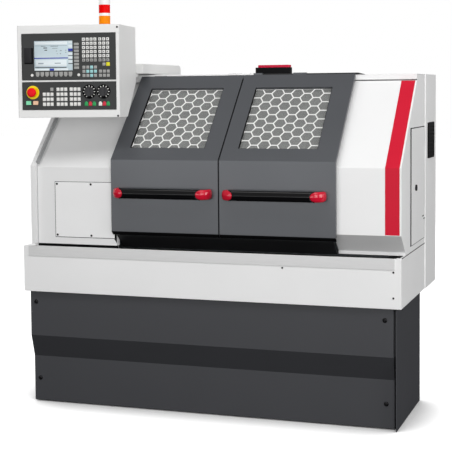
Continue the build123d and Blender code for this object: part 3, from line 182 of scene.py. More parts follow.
def dress(names, material, edge=0.0012):
    """Give CAD pieces their finish and break their sharp edges by a small radius."""
    for name in names:
        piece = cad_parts[name]
        piece.data.materials.clear()
        piece.data.materials.append(material)
        weld = piece.modifiers.new("weld", "WELD")
        weld.merge_threshold = 0.00001
        flat = piece.modifiers.new("flat", "DECIMATE")
        flat.decimate_type = "DISSOLVE"
        flat.angle_limit = math.radians(0.4)
        bevel = piece.modifiers.new("edges", "BEVEL")
        bevel.width = edge
        bevel.segments = 2
        bevel.limit_method = "ANGLE"
        bevel.angle_limit = math.radians(32)
        bevel.use_clamp_overlap = False
        piece.modifiers.new("shading", "WEIGHTED_NORMAL")


def facing(origin, out, up=(0, 0, 1)):
    """Matrix of a local frame: Z points out of a surface, Y points up along it, X to its right."""
    z = Vector(out).normalized()
    x = Vector(up).cross(z).normalized()
    y = z.cross(x)
    return Matrix.Translation(origin) @ Matrix((x, y, z)).transposed().to_4x4()


def add_rings(shape, rings, close_ends=True):
    """Skin a stack of closed rings of points, cap both ends, and give back the rings' vertices."""
    made = [[shape.verts.new(point) for point in ring] for ring in rings]
    for low, high in zip(made, made[1:]):
        for i in range(len(low)):
            j = (i + 1) % len(low)
            shape.faces.new((low[i], low[j], high[j], high[i]))
    if close_ends:
        shape.faces.new(made[0][::-1])
        shape.faces.new(made[-1])
    return made


def add_turned(shape, place, profile, sides=32):
    """Add a turned solid: profile points are (radius, height) along the place's Z."""
    turns = [2 * math.pi * i / sides for i in range(sides)]
    rings = [[place @ Vector((r * math.cos(t), r * math.sin(t), h)) for t in turns] for r, h in profile]
    add_rings(shape, rings)


def as_piece(name, shape, material, body, sharp_degrees=35):
    """Turn a built shape into a named piece that rides on a body and takes its finish from a slot."""
    bmesh.ops.recalc_face_normals(shape, faces=shape.faces)
    mesh = bpy.data.meshes.new(name)
    shape.to_mesh(mesh)
    shape.free()
    mesh.materials.append(material)
    mesh.shade_smooth()
    mesh.set_sharp_from_angle(angle=math.radians(sharp_degrees))
    piece = bpy.data.objects.new(name, mesh)
    scene.collection.objects.link(piece)
    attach(piece, body)
    return piece


# The stand's coat carries painted shade: its downward faces, such as the pan's slanted fold, are drawn at 0.7
# of its tone.
graphite_coat_and_shade = powder_coat("powder_coat_graphite_and_shade", "#3e3f43", 0.5, painted_underside_shade=0.7)
dress(["base_frame", "base_front_cover"], graphite_coat_and_shade, edge=0.002)

# To the eye, a dark oiled skin whose grain breaks up the highlights.
black_oxide, black_tree, black_shader = new_material("black_oxide_steel", Metallic=0.6, IOR=1.5)
black_tones = (linear("#0e0e10"), linear("#1d1d20"))
add_finish(black_tree, black_shader, add_noise(black_tree, 3.0, 4.0), black_tones, (0.32, 0.5))


def add_bolts(name, places, radius, body):
    """Piece of black button-head bolts with round sockets, one standing at each place."""
    rise = 0.55 * radius
    dome = [(radius, 0), (radius, 0.25 * rise), (0.9 * radius, 0.6 * rise), (0.7 * radius, 0.9 * rise)]
    socket = [(0.45 * radius, rise), (0.4 * radius, 0.95 * rise), (0.38 * radius, 0.3 * rise)]
    bolts = bmesh.new()
    for place in places:
        add_turned(bolts, place, dome + socket, sides=20)
    as_piece(name, bolts, black_oxide, body)


to_front = (0, -1, 0)
stand_low, stand_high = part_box("base_front_cover")
stand_step = 0.028
bolt_radius = 0.010
left_bolt_inset = 0.0285
right_bolt_inset = 0.0355
upper_bolt_drop = 0.049
lower_bolt_rise = 0.107
stand_bolts = [
    facing((x, y, z), to_front)
    for x in (stand_low.x + left_bolt_inset, stand_high.x - right_bolt_inset)
    for y, z in ((stand_low.y, stand_high.z - upper_bolt_drop), (stand_low.y + stand_step, lower_bolt_rise))
]
add_bolts("stand_bolts", stand_bolts, bolt_radius, "machine")


# Coolant tank: an open box of brushed stainless sheet that slides under the tray from the back.
# Its immersion pump is a black enamelled motor on a plate.
def brushed_steel(name, colour, roughness, grain_mm, along, metallic=1.0):
    """Brushed steel: fine lines along one axis, drawn coarse enough to show, with a small change of gloss."""
    material, tree, shader = new_material(name, Metallic=metallic, Anisotropic=0.5)
    where = add_node(tree, "ShaderNodeTexCoord").outputs["Object"]
    stretch = [0.02 if axis == along else 1.0 for axis in "XYZ"]
    lines = add_node(tree, "ShaderNodeMapping", {"Scale": stretch}, {"Vector": where})
    grain = add_noise(tree, grain_mm, 3.0, lines.outputs["Vector"])
    tones = (linear(colour, 0.82), linear(colour))
    add_finish(tree, shader, grain, tones, (roughness - 0.06, roughness + 0.08), (0.08, 0.0003))
    return material


stainless = brushed_steel("brushed_stainless", "#b9bbbd", 0.36, 2.0, "X")
dress(["coolant_tank"], stainless)
motor_enamel = powder_coat("motor_enamel_black", "#1c1d20", 0.42)
dress(["coolant_pump"], motor_enamel)

# Chip tray: a folded white pan that carries the enclosure, with a brushed strip along its front.
# Small dark button-head screws hold the strip and the tray's right end.
white_coat = powder_coat("powder_coat_white", "#f5f5f5", 0.42)
dress(["chip_tray"], white_coat, edge=0.0018)
strip_steel = brushed_steel("brushed_trim_strip", "#e8e8e8", 0.42, 1.6, "X", metallic=0.35)
dress(["tray_trim_strip"], strip_steel, edge=0.0006)
tray_low, tray_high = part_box("chip_tray")
screw_radius = 0.0042
tray_screw_places = ((0.353, 0.658), (0.818, 0.657), (0.818, 0.552))
tray_screws = [facing((x, tray_low.y, z), to_front) for x, z in tray_screw_places]
add_bolts("tray_screws", tray_screws, screw_radius, "machine")


# Bed, headstock, carriage and tailstock: ribbed grey iron castings in machine enamel.
# The sliding ways on the bed are left as ground iron and shine above the paint.
def cast_enamel(name, colour, bright_above=None):
    """Enamelled casting with a soft sand-cast bump; above a height the ground iron shows."""
    material, tree, shader = new_material(name, IOR=1.5)
    where = add_node(tree, "ShaderNodeTexCoord").outputs["Object"]
    sand = add_noise(tree, 7.0, 4.0, where)
    tones = (linear(colour, 0.86), linear(colour))
    enamel = add_finish(tree, shader, sand, tones, (0.3, 0.5), (0.25, 0.0008))
    if bright_above is not None:
        height = add_node(tree, "ShaderNodeSeparateXYZ", links={"Vector": where}).outputs["Z"]
        ground = add_node(tree, "ShaderNodeMath", {"operation": "GREATER_THAN", 1: bright_above}, {0: height})
        iron = {"data_type": "RGBA", 7: linear("#a9abad")}
        surface = add_node(tree, "ShaderNodeMix", iron, {0: ground.outputs[0], 6: enamel})
        tree.links.new(surface.outputs[2], shader.inputs["Base Color"])
        tree.links.new(ground.outputs[0], shader.inputs["Metallic"])
    return material


way_height = 0.0195
bed_enamel = cast_enamel("cast_iron_enamel_bed", "#878d91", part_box("bed")[1].z - way_height)
casting_enamel = cast_enamel("cast_iron_enamel", "#878d91")
dress(["bed"], bed_enamel, edge=0.002)
dress(["headstock", "carriage", "tailstock"], casting_enamel, edge=0.002)

# Spindle, pulleys, chuck and jaws: turned and ground steel, bright with fine turning lines.
# The belt between the pulleys is ribbed black rubber, and the main motor is black enamel.
ground_steel = brushed_steel("ground_steel", "#b4b5b8", 0.36, 1.4, "Y")
turned_steel = brushed_steel("turned_steel", "#b0b1b4", 0.36, 1.2, "X")
dress(["spindle", "spindle_pulley", "motor_pulley", "quill", "quill_handwheel"], turned_steel, edge=0.001)
dress(["chuck_body", "chuck_jaw_1", "chuck_jaw_2", "chuck_jaw_3"], ground_steel, edge=0.0015)
dress(["cross_slide", "turning_tools"], ground_steel, edge=0.001)
dress(["main_motor", "z_servo_motor", "x_servo_motor"], motor_enamel, edge=0.0015)
dress(["tool_turret"], black_oxide, edge=0.0015)

wave_radians = 20.0  # phase that a wave texture of scale 1 gains over one metre


def add_wave(tree, axis, pitch_mm):
    """Wave that repeats at a pitch in mm along an axis of the object, as a share from 0 to 1."""
    where = add_node(tree, "ShaderNodeTexCoord").outputs["Object"]
    scale = 2 * math.pi * 1000 / pitch_mm / wave_radians
    wave = add_node(tree, "ShaderNodeTexWave", {"bands_direction": axis, "Scale": scale}, {"Vector": where})
    return wave.outputs["Fac"]


# To the eye, matt black, drawn darker in the grooves and lighter on the ribs: painted shade and highlight.
rib_pitch_mm = 6.0
belt_rubber, belt_tree, belt_shader = new_material("ribbed_belt_rubber", Roughness=0.7, IOR=1.52)
belt_ribs = add_wave(belt_tree, "X", rib_pitch_mm)
add_finish(belt_tree, belt_shader, belt_ribs, (linear("#0f0f10"), linear("#242426")), bump=(0.5, 0.001))
dress(["drive_belt"], belt_rubber, edge=0.0008)


# Ball screws: hardened steel with a rolled round thread, one along the bed and one across it.
# The thread is drawn as rings one lead apart, 10 mm and 5 mm, in place of a helix.
def screw_thread(name, axis, lead_mm):
    """Steel with a rolled thread that repeats once for each lead along an axis, drawn darker in its hollows
    and lighter on its crests: painted shade and highlight.
    """
    material, tree, shader = new_material(name, Metallic=1.0, Roughness=0.24)
    tones = (linear("#6f7073"), linear("#c4c5c8"))
    add_finish(tree, shader, add_wave(tree, axis, lead_mm), tones, bump=(0.7, 0.0015))
    return material


dress(["z_ball_screw"], screw_thread("rolled_thread_long", "X", 10.0), edge=0.0006)
dress(["x_ball_screw"], screw_thread("rolled_thread_cross", "Y", 5.0), edge=0.0006)

# Enclosure: folded white covers, end walls, rear wall and roof, all in white powder coat.
# The access plate on the left cover is held by four small black screws.
# Painted shade: the left cover's coat is a little darker than the white of the other covers.
left_cover_coat_and_shade = powder_coat("powder_coat_white_and_shade", "#ececec", 0.42)
dress(["left_cover"], left_cover_coat_and_shade)
dress(["left_access_plate", "right_cover", "rear_wall", "roof_panel", "side_hatch"], white_coat)
plate_low, plate_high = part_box("left_access_plate")
plate_screw_inset = 0.0085
plate_screw_pitch = 0.164
plate_screw_radius = 0.005
plate_screws = [
    facing((x, plate_low.y, z), to_front)
    for x in (plate_low.x + plate_screw_inset, plate_low.x + plate_screw_inset + plate_screw_pitch)
    for z in (plate_low.z + plate_screw_inset, plate_high.z - plate_screw_inset)
]
add_bolts("plate_screws", plate_screws, plate_screw_radius, "machine")


# Red stripe: a band of self-adhesive film down the right cover's slope and face, left bare.
# It stops short of the cover's right edge and of its low fold.
def add_folded_band(shape, path, x_span, thickness):
    """Band of even thickness that follows a folded path of (Y, Z) points across an X span."""
    normals = []
    for (ya, za), (yb, zb) in zip(path, path[1:]):
        run = math.hypot(yb - ya, zb - za)
        normals.append(((za - zb) / run, (yb - ya) / run))
    lifted = []
    for i, (y, z) in enumerate(path):
        before = normals[max(i - 1, 0)]
        after = normals[min(i, len(normals) - 1)]
        spread = 1 + before[0] * after[0] + before[1] * after[1]
        lift_y, lift_z = (thickness * (a + b) / spread for a, b in zip(before, after))
        lifted.append((y + lift_y, z + lift_z))
    outline = path + lifted[::-1]
    rings = add_rings(shape, [[Vector((x, y, z)) for y, z in outline] for x in x_span], close_ends=False)
    last = len(outline) - 1
    for ring in rings:
        for i in range(len(path) - 1):
            shape.faces.new((ring[i], ring[i + 1], ring[last - 1 - i], ring[last - i]))


# To the eye, an even red with a faint slow drift and little reflection.
red_film, red_tree, red_shader = new_material("red_vinyl_film", IOR=1.2)
red_drift = add_noise(red_tree, 120.0, 2.0)
add_finish(red_tree, red_shader, red_drift, (linear("#cc1c34"), linear("#d42038")), (0.3, 0.4))
right_low, right_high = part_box("right_cover")
stripe_start, stripe_end = 0.066, 0.007
stripe_low = 0.8065
stripe_fold = 1.077
stripe_top = 1.4295
film = 0.0004
cover_face = right_low.y
slope_end = (cover_face + stripe_top - stripe_fold, stripe_top)
stripe = bmesh.new()
add_folded_band(
    stripe,
    [(cover_face, stripe_low), (cover_face, stripe_fold), slope_end],
    (right_high.x - stripe_start, right_high.x - stripe_end),
    film,
)
as_piece("red_stripe", stripe, red_film, "machine")


# Side hatch lock: a quarter-turn cam lock with a dark round head and a slotted key barrel.
# The hatch itself hangs on two barrel hinges at its back edge, and two dark rivets hold its stay.
def add_pad(shape, place, size, corner_radius, bevel, steps=4):
    """Rounded block: size is (width, height, depth) in a local frame, standing on its XY plane."""
    width, height, depth = size
    rings = []
    levels = ((0.0, 0.0), (0.0, depth - bevel), (0.3 * bevel, depth - 0.3 * bevel), (bevel, depth))
    for inset, level_z in levels:
        ring = []
        radius = max(corner_radius - inset, 0.05 * corner_radius)
        for quarter in range(4):
            cx = (width / 2 - inset - radius) * (1 if quarter in (0, 3) else -1)
            cy = (height / 2 - inset - radius) * (1 if quarter in (0, 1) else -1)
            for step in range(steps + 1):
                turn = math.pi / 2 * (quarter + step / steps)
                x, y = cx + radius * math.cos(turn), cy + radius * math.sin(turn)
                ring.append(place @ Vector((x, y, level_z)))
        rings.append(ring)
    add_rings(shape, rings)


dress(["hatch_lock"], black_oxide, edge=0.0008)
stay_rivets = bmesh.new()
hatch_low, hatch_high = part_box("side_hatch")
hinge_radius = 0.0025
hatch_face = hatch_high.x - hinge_radius
rivet_height, rivet_rise, rivet_corner, rivet_edge = 0.004, 0.0008, 0.001, 0.0002
rivet_spans = ((0.170, 0.214, 0.8400), (0.202, 0.240, 0.8265))
for start_y, end_y, level_z in rivet_spans:
    rivet_place = facing((hatch_face, (start_y + end_y) / 2, level_z), (1, 0, 0))
    add_pad(stay_rivets, rivet_place, (end_y - start_y, rivet_height, rivet_rise), rivet_corner, rivet_edge)
as_piece("stay_rivets", stay_rivets, black_oxide, "side_hatch")

# Electrical cabinet: white box and door on the machine's back, with a black louvred fan filter.
# The filter is moulded plastic with a fine spark-eroded grain.
dress(["electrical_cabinet", "cabinet_door"], white_coat, edge=0.0015)


def moulded_plastic(name, colour, roughness, grain_mm=3.0, bump_strength=0.12, ior=1.45):
    """Moulded plastic: one colour with a fine eroded grain, drawn coarse enough to show."""
    material, tree, shader = new_material(name, IOR=ior)
    grain = add_noise(tree, grain_mm, 3.0)
    tones = (linear(colour, 0.9), linear(colour))
    add_finish(tree, shader, grain, tones, (roughness - 0.05, roughness + 0.05), (bump_strength, 0.0003))
    return material


black_plastic = moulded_plastic("abs_black", "#08080a", 0.5, ior=1.2)
dress(["filter_grille"], black_plastic, edge=0.0008)

# Seals and painted shade: black foam rubber strips glued into the enclosure's joints, and black strips where
# gaps lie in shade.
# The strips in the step under the left cover and along the tray's rim, and the wedge at the left cover's
# right end under the left door, are painted shade; the strips at the tray's right end and around the plate
# and the hatch are seals.
black_rubber_and_shade = moulded_plastic("foam_rubber_and_shade_black", "#08080a", 0.8, ior=1.2)


def add_block(shape, low, high):
    """Plain block between two corners."""
    outline = ((low[0], low[1]), (high[0], low[1]), (high[0], high[1]), (low[0], high[1]))
    add_rings(shape, [[Vector((x, y, z)) for x, y in outline] for z in (low[2], high[2])])


def add_frame(shape, place, size, width, depth):
    """Flat rectangular ring inside a size, in a local frame, with a width and a depth."""
    rings = []
    for inset, level_z in ((0, 0), (0, depth), (width, depth), (width, 0), (0, 0)):
        half_x, half_y = size[0] / 2 - inset, size[1] / 2 - inset
        corners = ((-half_x, -half_y), (half_x, -half_y), (half_x, half_y), (-half_x, half_y))
        rings.append([place @ Vector((x, y, level_z)) for x, y in corners])
    add_rings(shape, rings, close_ends=False)
    bmesh.ops.remove_doubles(shape, verts=shape.verts, dist=1e-7)


left_low, left_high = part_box("left_cover")
flange_width = 0.024
step_height = 0.012
step_front, step_back = tray_low.y + 0.0035, tray_low.y + 0.0158
rim_front, rim_back = tray_low.y + 0.002, tray_low.y + 0.0245
rim_end = tray_high.x - 0.022
rim_rise = 0.0012
clear = 0.0002  # gap that keeps two faces out of one plane
seals_and_shade = bmesh.new()
# Painted shade: the step under the left cover and the tray's rim are filled with black where they lie in
# shade.
add_block(
    seals_and_shade,
    (left_low.x + flange_width, step_front, tray_high.z),
    (left_high.x, step_back, tray_high.z + step_height - clear),
)
add_block(seals_and_shade, (left_high.x, rim_front, tray_high.z), (rim_end, rim_back, tray_high.z + rim_rise))
plate_mid = (plate_low + plate_high) / 2
plate_size = plate_high - plate_low
seal_out = 0.0022
plate_seal_depth, hatch_seal_depth = 0.0008, 0.00025
add_frame(
    seals_and_shade,
    facing((plate_mid.x, plate_high.y, plate_mid.z), to_front),
    (plate_size.x + 2 * seal_out, plate_size.z + 2 * seal_out),
    seal_out - clear / 2,
    plate_seal_depth,
)
hatch_seal_out = 0.004
hatch_back = hatch_high.y - hinge_radius
add_frame(
    seals_and_shade,
    facing((tray_high.x, (hatch_low.y + hatch_back) / 2, (hatch_low.z + hatch_high.z) / 2), (1, 0, 0)),
    (hatch_back - hatch_low.y + 2 * hatch_seal_out, hatch_high.z - hatch_low.z + 2 * hatch_seal_out),
    2 * hatch_seal_out,
    hatch_seal_depth,
)
joint_start, joint_height, joint_in, joint_out = 0.02, 0.003, 0.0005, 0.0003
add_block(
    seals_and_shade,
    (tray_high.x - joint_in, tray_low.y + joint_start, tray_high.z - joint_height),
    (tray_high.x + joint_out, tray_high.y, tray_high.z),
)
# Painted shade: a black wedge on the left cover's face under the left door's low corner.
shade_wedge_width, shade_wedge_height, shade_wedge_rise = 0.032, 0.046, 0.0005
shade_wedge_top = tray_high.z + 0.0695
shade_wedge_outline = (
    (left_high.x - shade_wedge_width, shade_wedge_top),
    (left_high.x - clear, shade_wedge_top - shade_wedge_height),
    (left_high.x - clear, shade_wedge_top),
)
add_rings(seals_and_shade, [[Vector((x, cover_face - out, z)) for x, z in shade_wedge_outline] for out in (0.0, shade_wedge_rise)])
as_piece("enclosure_seals_and_shade", seals_and_shade, black_rubber_and_shade, "machine")

# Hatch edge shade: a black strip on the hatch's front edge, painted shade where that edge lies in shade.
# It swings with the hatch.
edge_shade_rise = 0.0004
edge_shade = bmesh.new()
add_block(
    edge_shade,
    (tray_high.x + 4 * clear, hatch_low.y - edge_shade_rise, hatch_low.z),
    (hatch_face - clear, hatch_low.y + clear / 2, hatch_high.z),
)
as_piece("hatch_edge_shade", edge_shade, black_rubber_and_shade, "side_hatch")

# Flange shade: a grey band up the corner between the left cover's flange and its face and slope, and over the
# flange's inner wall on the slope.
# It is painted shade in the corner along the flange, and is wider on the slope, where the flange stands
# further out.
flange_shade_grey = moulded_plastic("flange_shade_grey", "#a8a9aa", 0.7, ior=1.3)
flange_inner = left_low.x + flange_width
flange_height = 0.0145
shade_face_width, shade_slope_width = 0.0025, 0.011
face_path = [(cover_face, tray_high.z + step_height), (cover_face, stripe_fold)]
slope_path = [(cover_face, stripe_fold), slope_end]
flange_shade = bmesh.new()
add_folded_band(flange_shade, face_path, (flange_inner, flange_inner + shade_face_width), film)
add_folded_band(flange_shade, slope_path, (flange_inner, flange_inner + shade_slope_width), film)
add_folded_band(flange_shade, slope_path, (flange_inner, flange_inner + film), flange_height)
as_piece("flange_painted_shade", flange_shade, flange_shade_grey, "machine")

# Rails: the steel rail over the doors, white as far as the interlock and near-black beyond it.
# The sill under the doors is near-black too, in a satin coat; on the sill this near-black is painted shade,
# where it lies in shade under the doors.
rail_low = tray_high.z + 0.7
white_rail = ("#eeeeee", rail_low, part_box("interlock_switch")[0].x)
rail_coat_and_sill_shade = powder_coat("powder_coat_rail", "#141517", 0.5, second=white_rail)
dress(["door_rails"], rail_coat_and_sill_shade, edge=0.0008)

# Door interlock: a black moulded switch body on the roof with a red actuator cap.
# The two mouldings stand for the plain block of the frame.
red_plastic = moulded_plastic("abs_red", "#c8163c", 0.36, ior=1.3)
switch_low, switch_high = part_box("interlock_switch")
cap_height = 0.011
body_end = 0.010
cap_start, cap_end = 0.012, 0.014
corner, corner_edge = 0.003, 0.002
switch_mid = (switch_low + switch_high) / 2
switch_size = switch_high - switch_low
switch_body = bmesh.new()
add_pad(
    switch_body,
    facing((switch_mid.x - body_end / 2, switch_mid.y, switch_low.z), (0, 0, 1), (0, 1, 0)),
    (switch_size.x - body_end, switch_size.y, switch_size.z - cap_height),
    corner,
    corner_edge,
)
body_piece = as_piece("switch_body", switch_body, black_plastic, "machine")
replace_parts(body_piece, "interlock_switch")
switch_cap = bmesh.new()
cap_mid = (switch_mid.x + (cap_start - cap_end) / 2, switch_mid.y, switch_high.z - cap_height)
add_pad(
    switch_cap,
    facing(cap_mid, (0, 0, 1), (0, 1, 0)),
    (switch_size.x - cap_start - cap_end, switch_size.y, cap_height),
    corner,
    corner_edge,
)
as_piece("switch_cap", switch_cap, red_plastic, "machine")

# Sliding doors: folded pans in mid-grey powder coat, each with a window in its slope.
# A white lasered hexagon guard lies behind the opening, over a polycarbonate pane.
hanger_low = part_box("roof_panel")[1].z + 0.0035
white_hanger = ("#e4e4e4", hanger_low, switch_low.x)
door_coat = powder_coat("powder_coat_mid_grey", "#585a5e", 0.34, second=white_hanger, flake=0.3)
dress(["left_door", "right_door"], door_coat, edge=0.0012)
guard_coat = powder_coat("powder_coat_guard_white", "#f4f4f2", 0.45)
dress(["left_window_guard", "right_window_guard"], guard_coat, edge=0.0004)
# To the eye, a hazy pale sheet through which what is behind shows only dimly.
pane_clear, pane_tree, pane_shader = new_material(
    "polycarbonate_pane", IOR=1.58, Transmission_Weight=0.72, Roughness=0.14
)
add_finish(pane_tree, pane_shader, add_noise(pane_tree, 90.0, 3.0), (linear("#bcbebc"), linear("#d2d4d2")))
dress(["left_window_pane", "right_window_pane"], pane_clear, edge=0.0004)

# Door trims: black beads that line the window openings and black strips under the doors' low folds, both
# painted shade where the openings' walls and the folds lie in shade.
# A narrow black lip runs down each door's meeting edge.
# All are pressed on the sheet and slide with the doors.
slope_out = Vector((0, -1, 1)).normalized()
slope_up = Vector((0, 1, 1)).normalized()
guard_lap = 0.014
guard_half = 0.001
opening_depth = 0.012
opening_shade, opening_shade_stop = 0.0009, 0.0003
door_return = 0.016
under_fold_shade, under_fold_shade_inset = 0.001, 0.0005
lip = 0.003
lip_top = 1.446
for side in ("left", "right"):
    guard_low, guard_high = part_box(side + "_window_guard")
    guard_mid = (guard_low + guard_high) / 2
    opening_width = guard_high.x - guard_low.x - 2 * guard_lap
    opening_height = (guard_high - guard_low).dot(slope_up) - 2 * guard_lap
    trims = bmesh.new()
    add_frame(
        trims,
        facing(guard_mid + slope_out * (guard_half + clear / 2), slope_out, slope_up),
        (opening_width - clear / 2, opening_height - clear / 2),
        opening_shade,
        opening_depth - opening_shade_stop,
    )
    door_low, door_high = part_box(side + "_door")
    fold_z = door_low.z + door_return
    under_fold_shade_foot = (door_low.y + door_return - under_fold_shade_inset, fold_z - door_return + under_fold_shade_inset)
    under_fold_shade_top = (door_low.y + 2 * clear, fold_z - 2 * clear)
    under_fold_shade_x = (door_low.x + under_fold_shade_inset, door_high.x - under_fold_shade_inset)
    add_folded_band(trims, [under_fold_shade_foot, under_fold_shade_top], under_fold_shade_x, under_fold_shade)
    slope_foot = guard_mid + slope_out * (guard_half + opening_depth)
    bend_z = slope_foot.z + door_low.y - slope_foot.y
    lip_x = (door_high.x - lip, door_high.x) if side == "left" else (door_low.x, door_low.x + lip / 2)
    add_folded_band(
        trims,
        [(door_low.y, fold_z), (door_low.y, bend_z), (door_low.y + lip_top - bend_z, lip_top)],
        lip_x,
        film,
    )
    as_piece(side + "_door_trim_and_shade", trims, black_rubber_and_shade, side + "_door")

# Door handles: a black moulded bar between two bent red ends, one handle on each door.
# The red ends are glossy plastic and the bar has a soft satin face.
handle_black = moulded_plastic("polyamide_black", "#08080a", 0.2, ior=1.35)
handle_red = moulded_plastic("polyamide_red", "#cc1430", 0.14, bump_strength=0.03)
dress(["left_handle_bar", "right_handle_bar"], handle_black, edge=0.003)
dress(["left_handle_ends", "right_handle_ends"], handle_red, edge=0.003)

# Console: a folded white housing on a swivel arm, in a fine-textured powder coat.
# Two dark moulded panels sit in its front, turned a little towards the operator.
console_coat = powder_coat("powder_coat_console", "#ececeb", 0.45, peel_mm=4.0)
dress(["console_arm", "console_housing"], console_coat, edge=0.0015)
panel_plastic = moulded_plastic("panel_grey_plastic", "#404141", 0.5, ior=1.25)
dress(["operator_panel", "machine_panel"], panel_plastic, edge=0.0008)

console_turn = math.radians(8.87)
console_corner = Vector((-0.8015, -0.403, 1.284))
console_right = Vector((math.cos(console_turn), math.sin(console_turn), 0))
console_out = Vector((math.sin(console_turn), -math.cos(console_turn), 0))
panel_left = 0.020
panel_face = 0.0015
operator_top = 0.3613
machine_top = 0.1533


def on_console(x, z, proud):
    """Local frame on the console's front, from its lower left corner."""
    origin = console_corner + console_right * x + Vector((0, 0, z)) + console_out * proud
    return facing(origin, console_out)


def on_operator(x, drop, proud=panel_face):
    """Place on the operator panel, from its top left corner."""
    return on_console(panel_left + x, operator_top - drop, proud)


def on_machine(x, drop, proud=panel_face):
    """Place on the machine panel, from its top left corner."""
    return on_console(panel_left + x, machine_top - drop, proud)


# Operator keys: pale membrane keys with raised caps, beside and under the screen.
# White, grey and teal keys and one yellow key; a plain dark mark stands where a legend would be.
key_white = moulded_plastic("key_white", "#e9e9e6", 0.42, grain_mm=2.0)
key_grey = moulded_plastic("key_grey", "#a3a3a1", 0.45, grain_mm=2.0)
key_teal = moulded_plastic("key_teal", "#9fd3d6", 0.42, grain_mm=2.0)
key_yellow = moulded_plastic("key_yellow", "#e8e01e", 0.4, grain_mm=2.0)
key_size = (0.0128, 0.0130)
key_rise, key_corner, key_edge = 0.0015, 0.0015, 0.0006
mark_size = (0.0040, 0.0046, 0.00015)
print_corner, print_edge = 0.0003, 0.00004
shield = ((-1, 1), (-1, -0.35), (-0.45, -1), (0.45, -1), (1, -0.35), (1, 1))
house = ((-1, -1), (1, -1), (1, 0.25), (0.4, 1), (-0.4, 1), (-1, 0.25))


def add_key(shape, place, size):
    """One raised key cap with rounded corners."""
    add_pad(shape, place, (size[0], size[1], key_rise), key_corner, key_edge)


def add_key_grid(shape, place_on, first, pitch, counts, size, skip=()):
    """Grid of keys: first key's centre, pitch across and down, and keys to leave out as (column, row)."""
    for column in range(counts[0]):
        for row in range(counts[1]):
            if (column, row) not in skip:
                add_key(shape, place_on(first[0] + column * pitch[0], first[1] + row * pitch[1]), size)


def add_prism(shape, place, outline, size, rise):
    """Key with an outline given in half sizes, in a local frame, and a slightly smaller top."""
    rings = []
    for share, level_z in ((1, 0), (1, 0.7 * rise), (0.88, rise)):
        half_x, half_y = share * size[0] / 2, share * size[1] / 2
        rings.append([place @ Vector((x * half_x, y * half_y, level_z)) for x, y in outline])
    add_rings(shape, rings)


def panel_piece(name, shape, material):
    """Piece that rides on the console and takes the finish it is given."""
    as_piece(name, shape, material, "console")


key_blocks = ((0.2785, 0.0170, 4), (0.3510, 0.0172, 3))  # first key, pitch and columns of each block
row_pitch = 0.0178
letter_drop, letter_rows = 0.0270, 5
key_marks = bmesh.new()
for first_x, pitch_x, columns in key_blocks:
    for column in range(columns):
        for row in range(letter_rows + 1):
            x, drop = first_x + column * pitch_x, letter_drop + row * row_pitch
            spot = on_operator(x, drop, panel_face + key_rise)
            add_pad(key_marks, spot, mark_size, print_corner, print_edge, steps=1)
panel_piece("key_marks", key_marks, moulded_plastic("print_dark", "#3c3d40", 0.5))

letter_keys = bmesh.new()
for first_x, pitch_x, columns in key_blocks:
    first, counts = (first_x, letter_drop), (columns, letter_rows)
    add_key_grid(letter_keys, on_operator, first, (pitch_x, row_pitch), counts, key_size)
panel_piece("letter_keys", letter_keys, key_white)

function_drop = 0.1160
shift_key, enter_place, enter_size = (0.3682, 0.1340), (0.3860, 0.1340), (0.0155, 0.0155)
cursor_first, cursor_pitch = (0.2790, 0.1462), (0.0170, row_pitch)
cursor_spots = ((2, 0), (1, 1), (2, 1), (3, 1), (2, 2))
page_first, page_pitch = (0.3520, 0.1640), (0.0172, row_pitch)
side_first, side_pitch, side_size = (0.2465, 0.0470), (0.0, 0.0144), (0.0215, 0.0108)
tab_x, tab_pitch, tab_drop, tab_size = 0.0715, 0.0210, 0.1750, (0.0160, 0.0200)
screen_keys = 8
function_keys = bmesh.new()
for first_x, pitch_x, columns in key_blocks:
    first = (first_x, function_drop)
    add_key_grid(function_keys, on_operator, first, (pitch_x, row_pitch), (columns, 1), key_size)
add_key(function_keys, on_operator(*shift_key), key_size)
add_key_grid(function_keys, on_operator, cursor_first, cursor_pitch, (4, 3), key_size, cursor_spots)
add_key_grid(function_keys, on_operator, page_first, page_pitch, (3, 2), key_size)
add_key_grid(function_keys, on_operator, side_first, side_pitch, (1, screen_keys), side_size)
for i in range(screen_keys):
    add_prism(function_keys, on_operator(tab_x + i * tab_pitch, tab_drop), shield, tab_size, key_rise)
panel_piece("function_keys", function_keys, key_grey)

cursor_keys = bmesh.new()
for column, row in cursor_spots:
    cursor_x = cursor_first[0] + column * cursor_pitch[0]
    add_key(cursor_keys, on_operator(cursor_x, cursor_first[1] + row * cursor_pitch[1]), key_size)
panel_piece("cursor_keys", cursor_keys, key_teal)

enter_key = bmesh.new()
add_key(enter_key, on_operator(*enter_place), enter_size)
panel_piece("enter_key", enter_key, key_yellow)

round_key_x, round_key_drop = (0.0465, 0.2555), 0.1785
round_key = [(0.0062, 0), (0.0062, 0.001), (0.0054, 0.0017), (0.001, 0.0018)]
round_keys = bmesh.new()
for key_x in round_key_x:
    add_turned(round_keys, on_operator(key_x, round_key_drop), round_key, sides=20)
panel_piece("round_keys", round_keys, key_white)

# Screen: a flat display behind the panel's opening, with plain fields of pale blue and no print.
# A dark title band, a table of short marks and a row of tabs make up the picture.
screen_left, screen_top = 0.057, 0.031
screen_width, screen_height = 0.172, 0.128
screen_face = panel_face - 0.002
field_corner, field_edge = 0.0004, 0.00005


def display(name, colour):
    """Lit display field: a smooth plastic film with a faint glow and a fine pixel grain."""
    material, tree, shader = new_material(name, IOR=1.5, Roughness=0.22, Emission_Strength=0.05)
    tone = add_finish(tree, shader, add_noise(tree, 4.0, 1.0), (linear(colour, 0.95), linear(colour)))
    tree.links.new(tone, shader.inputs["Emission Color"])
    return material


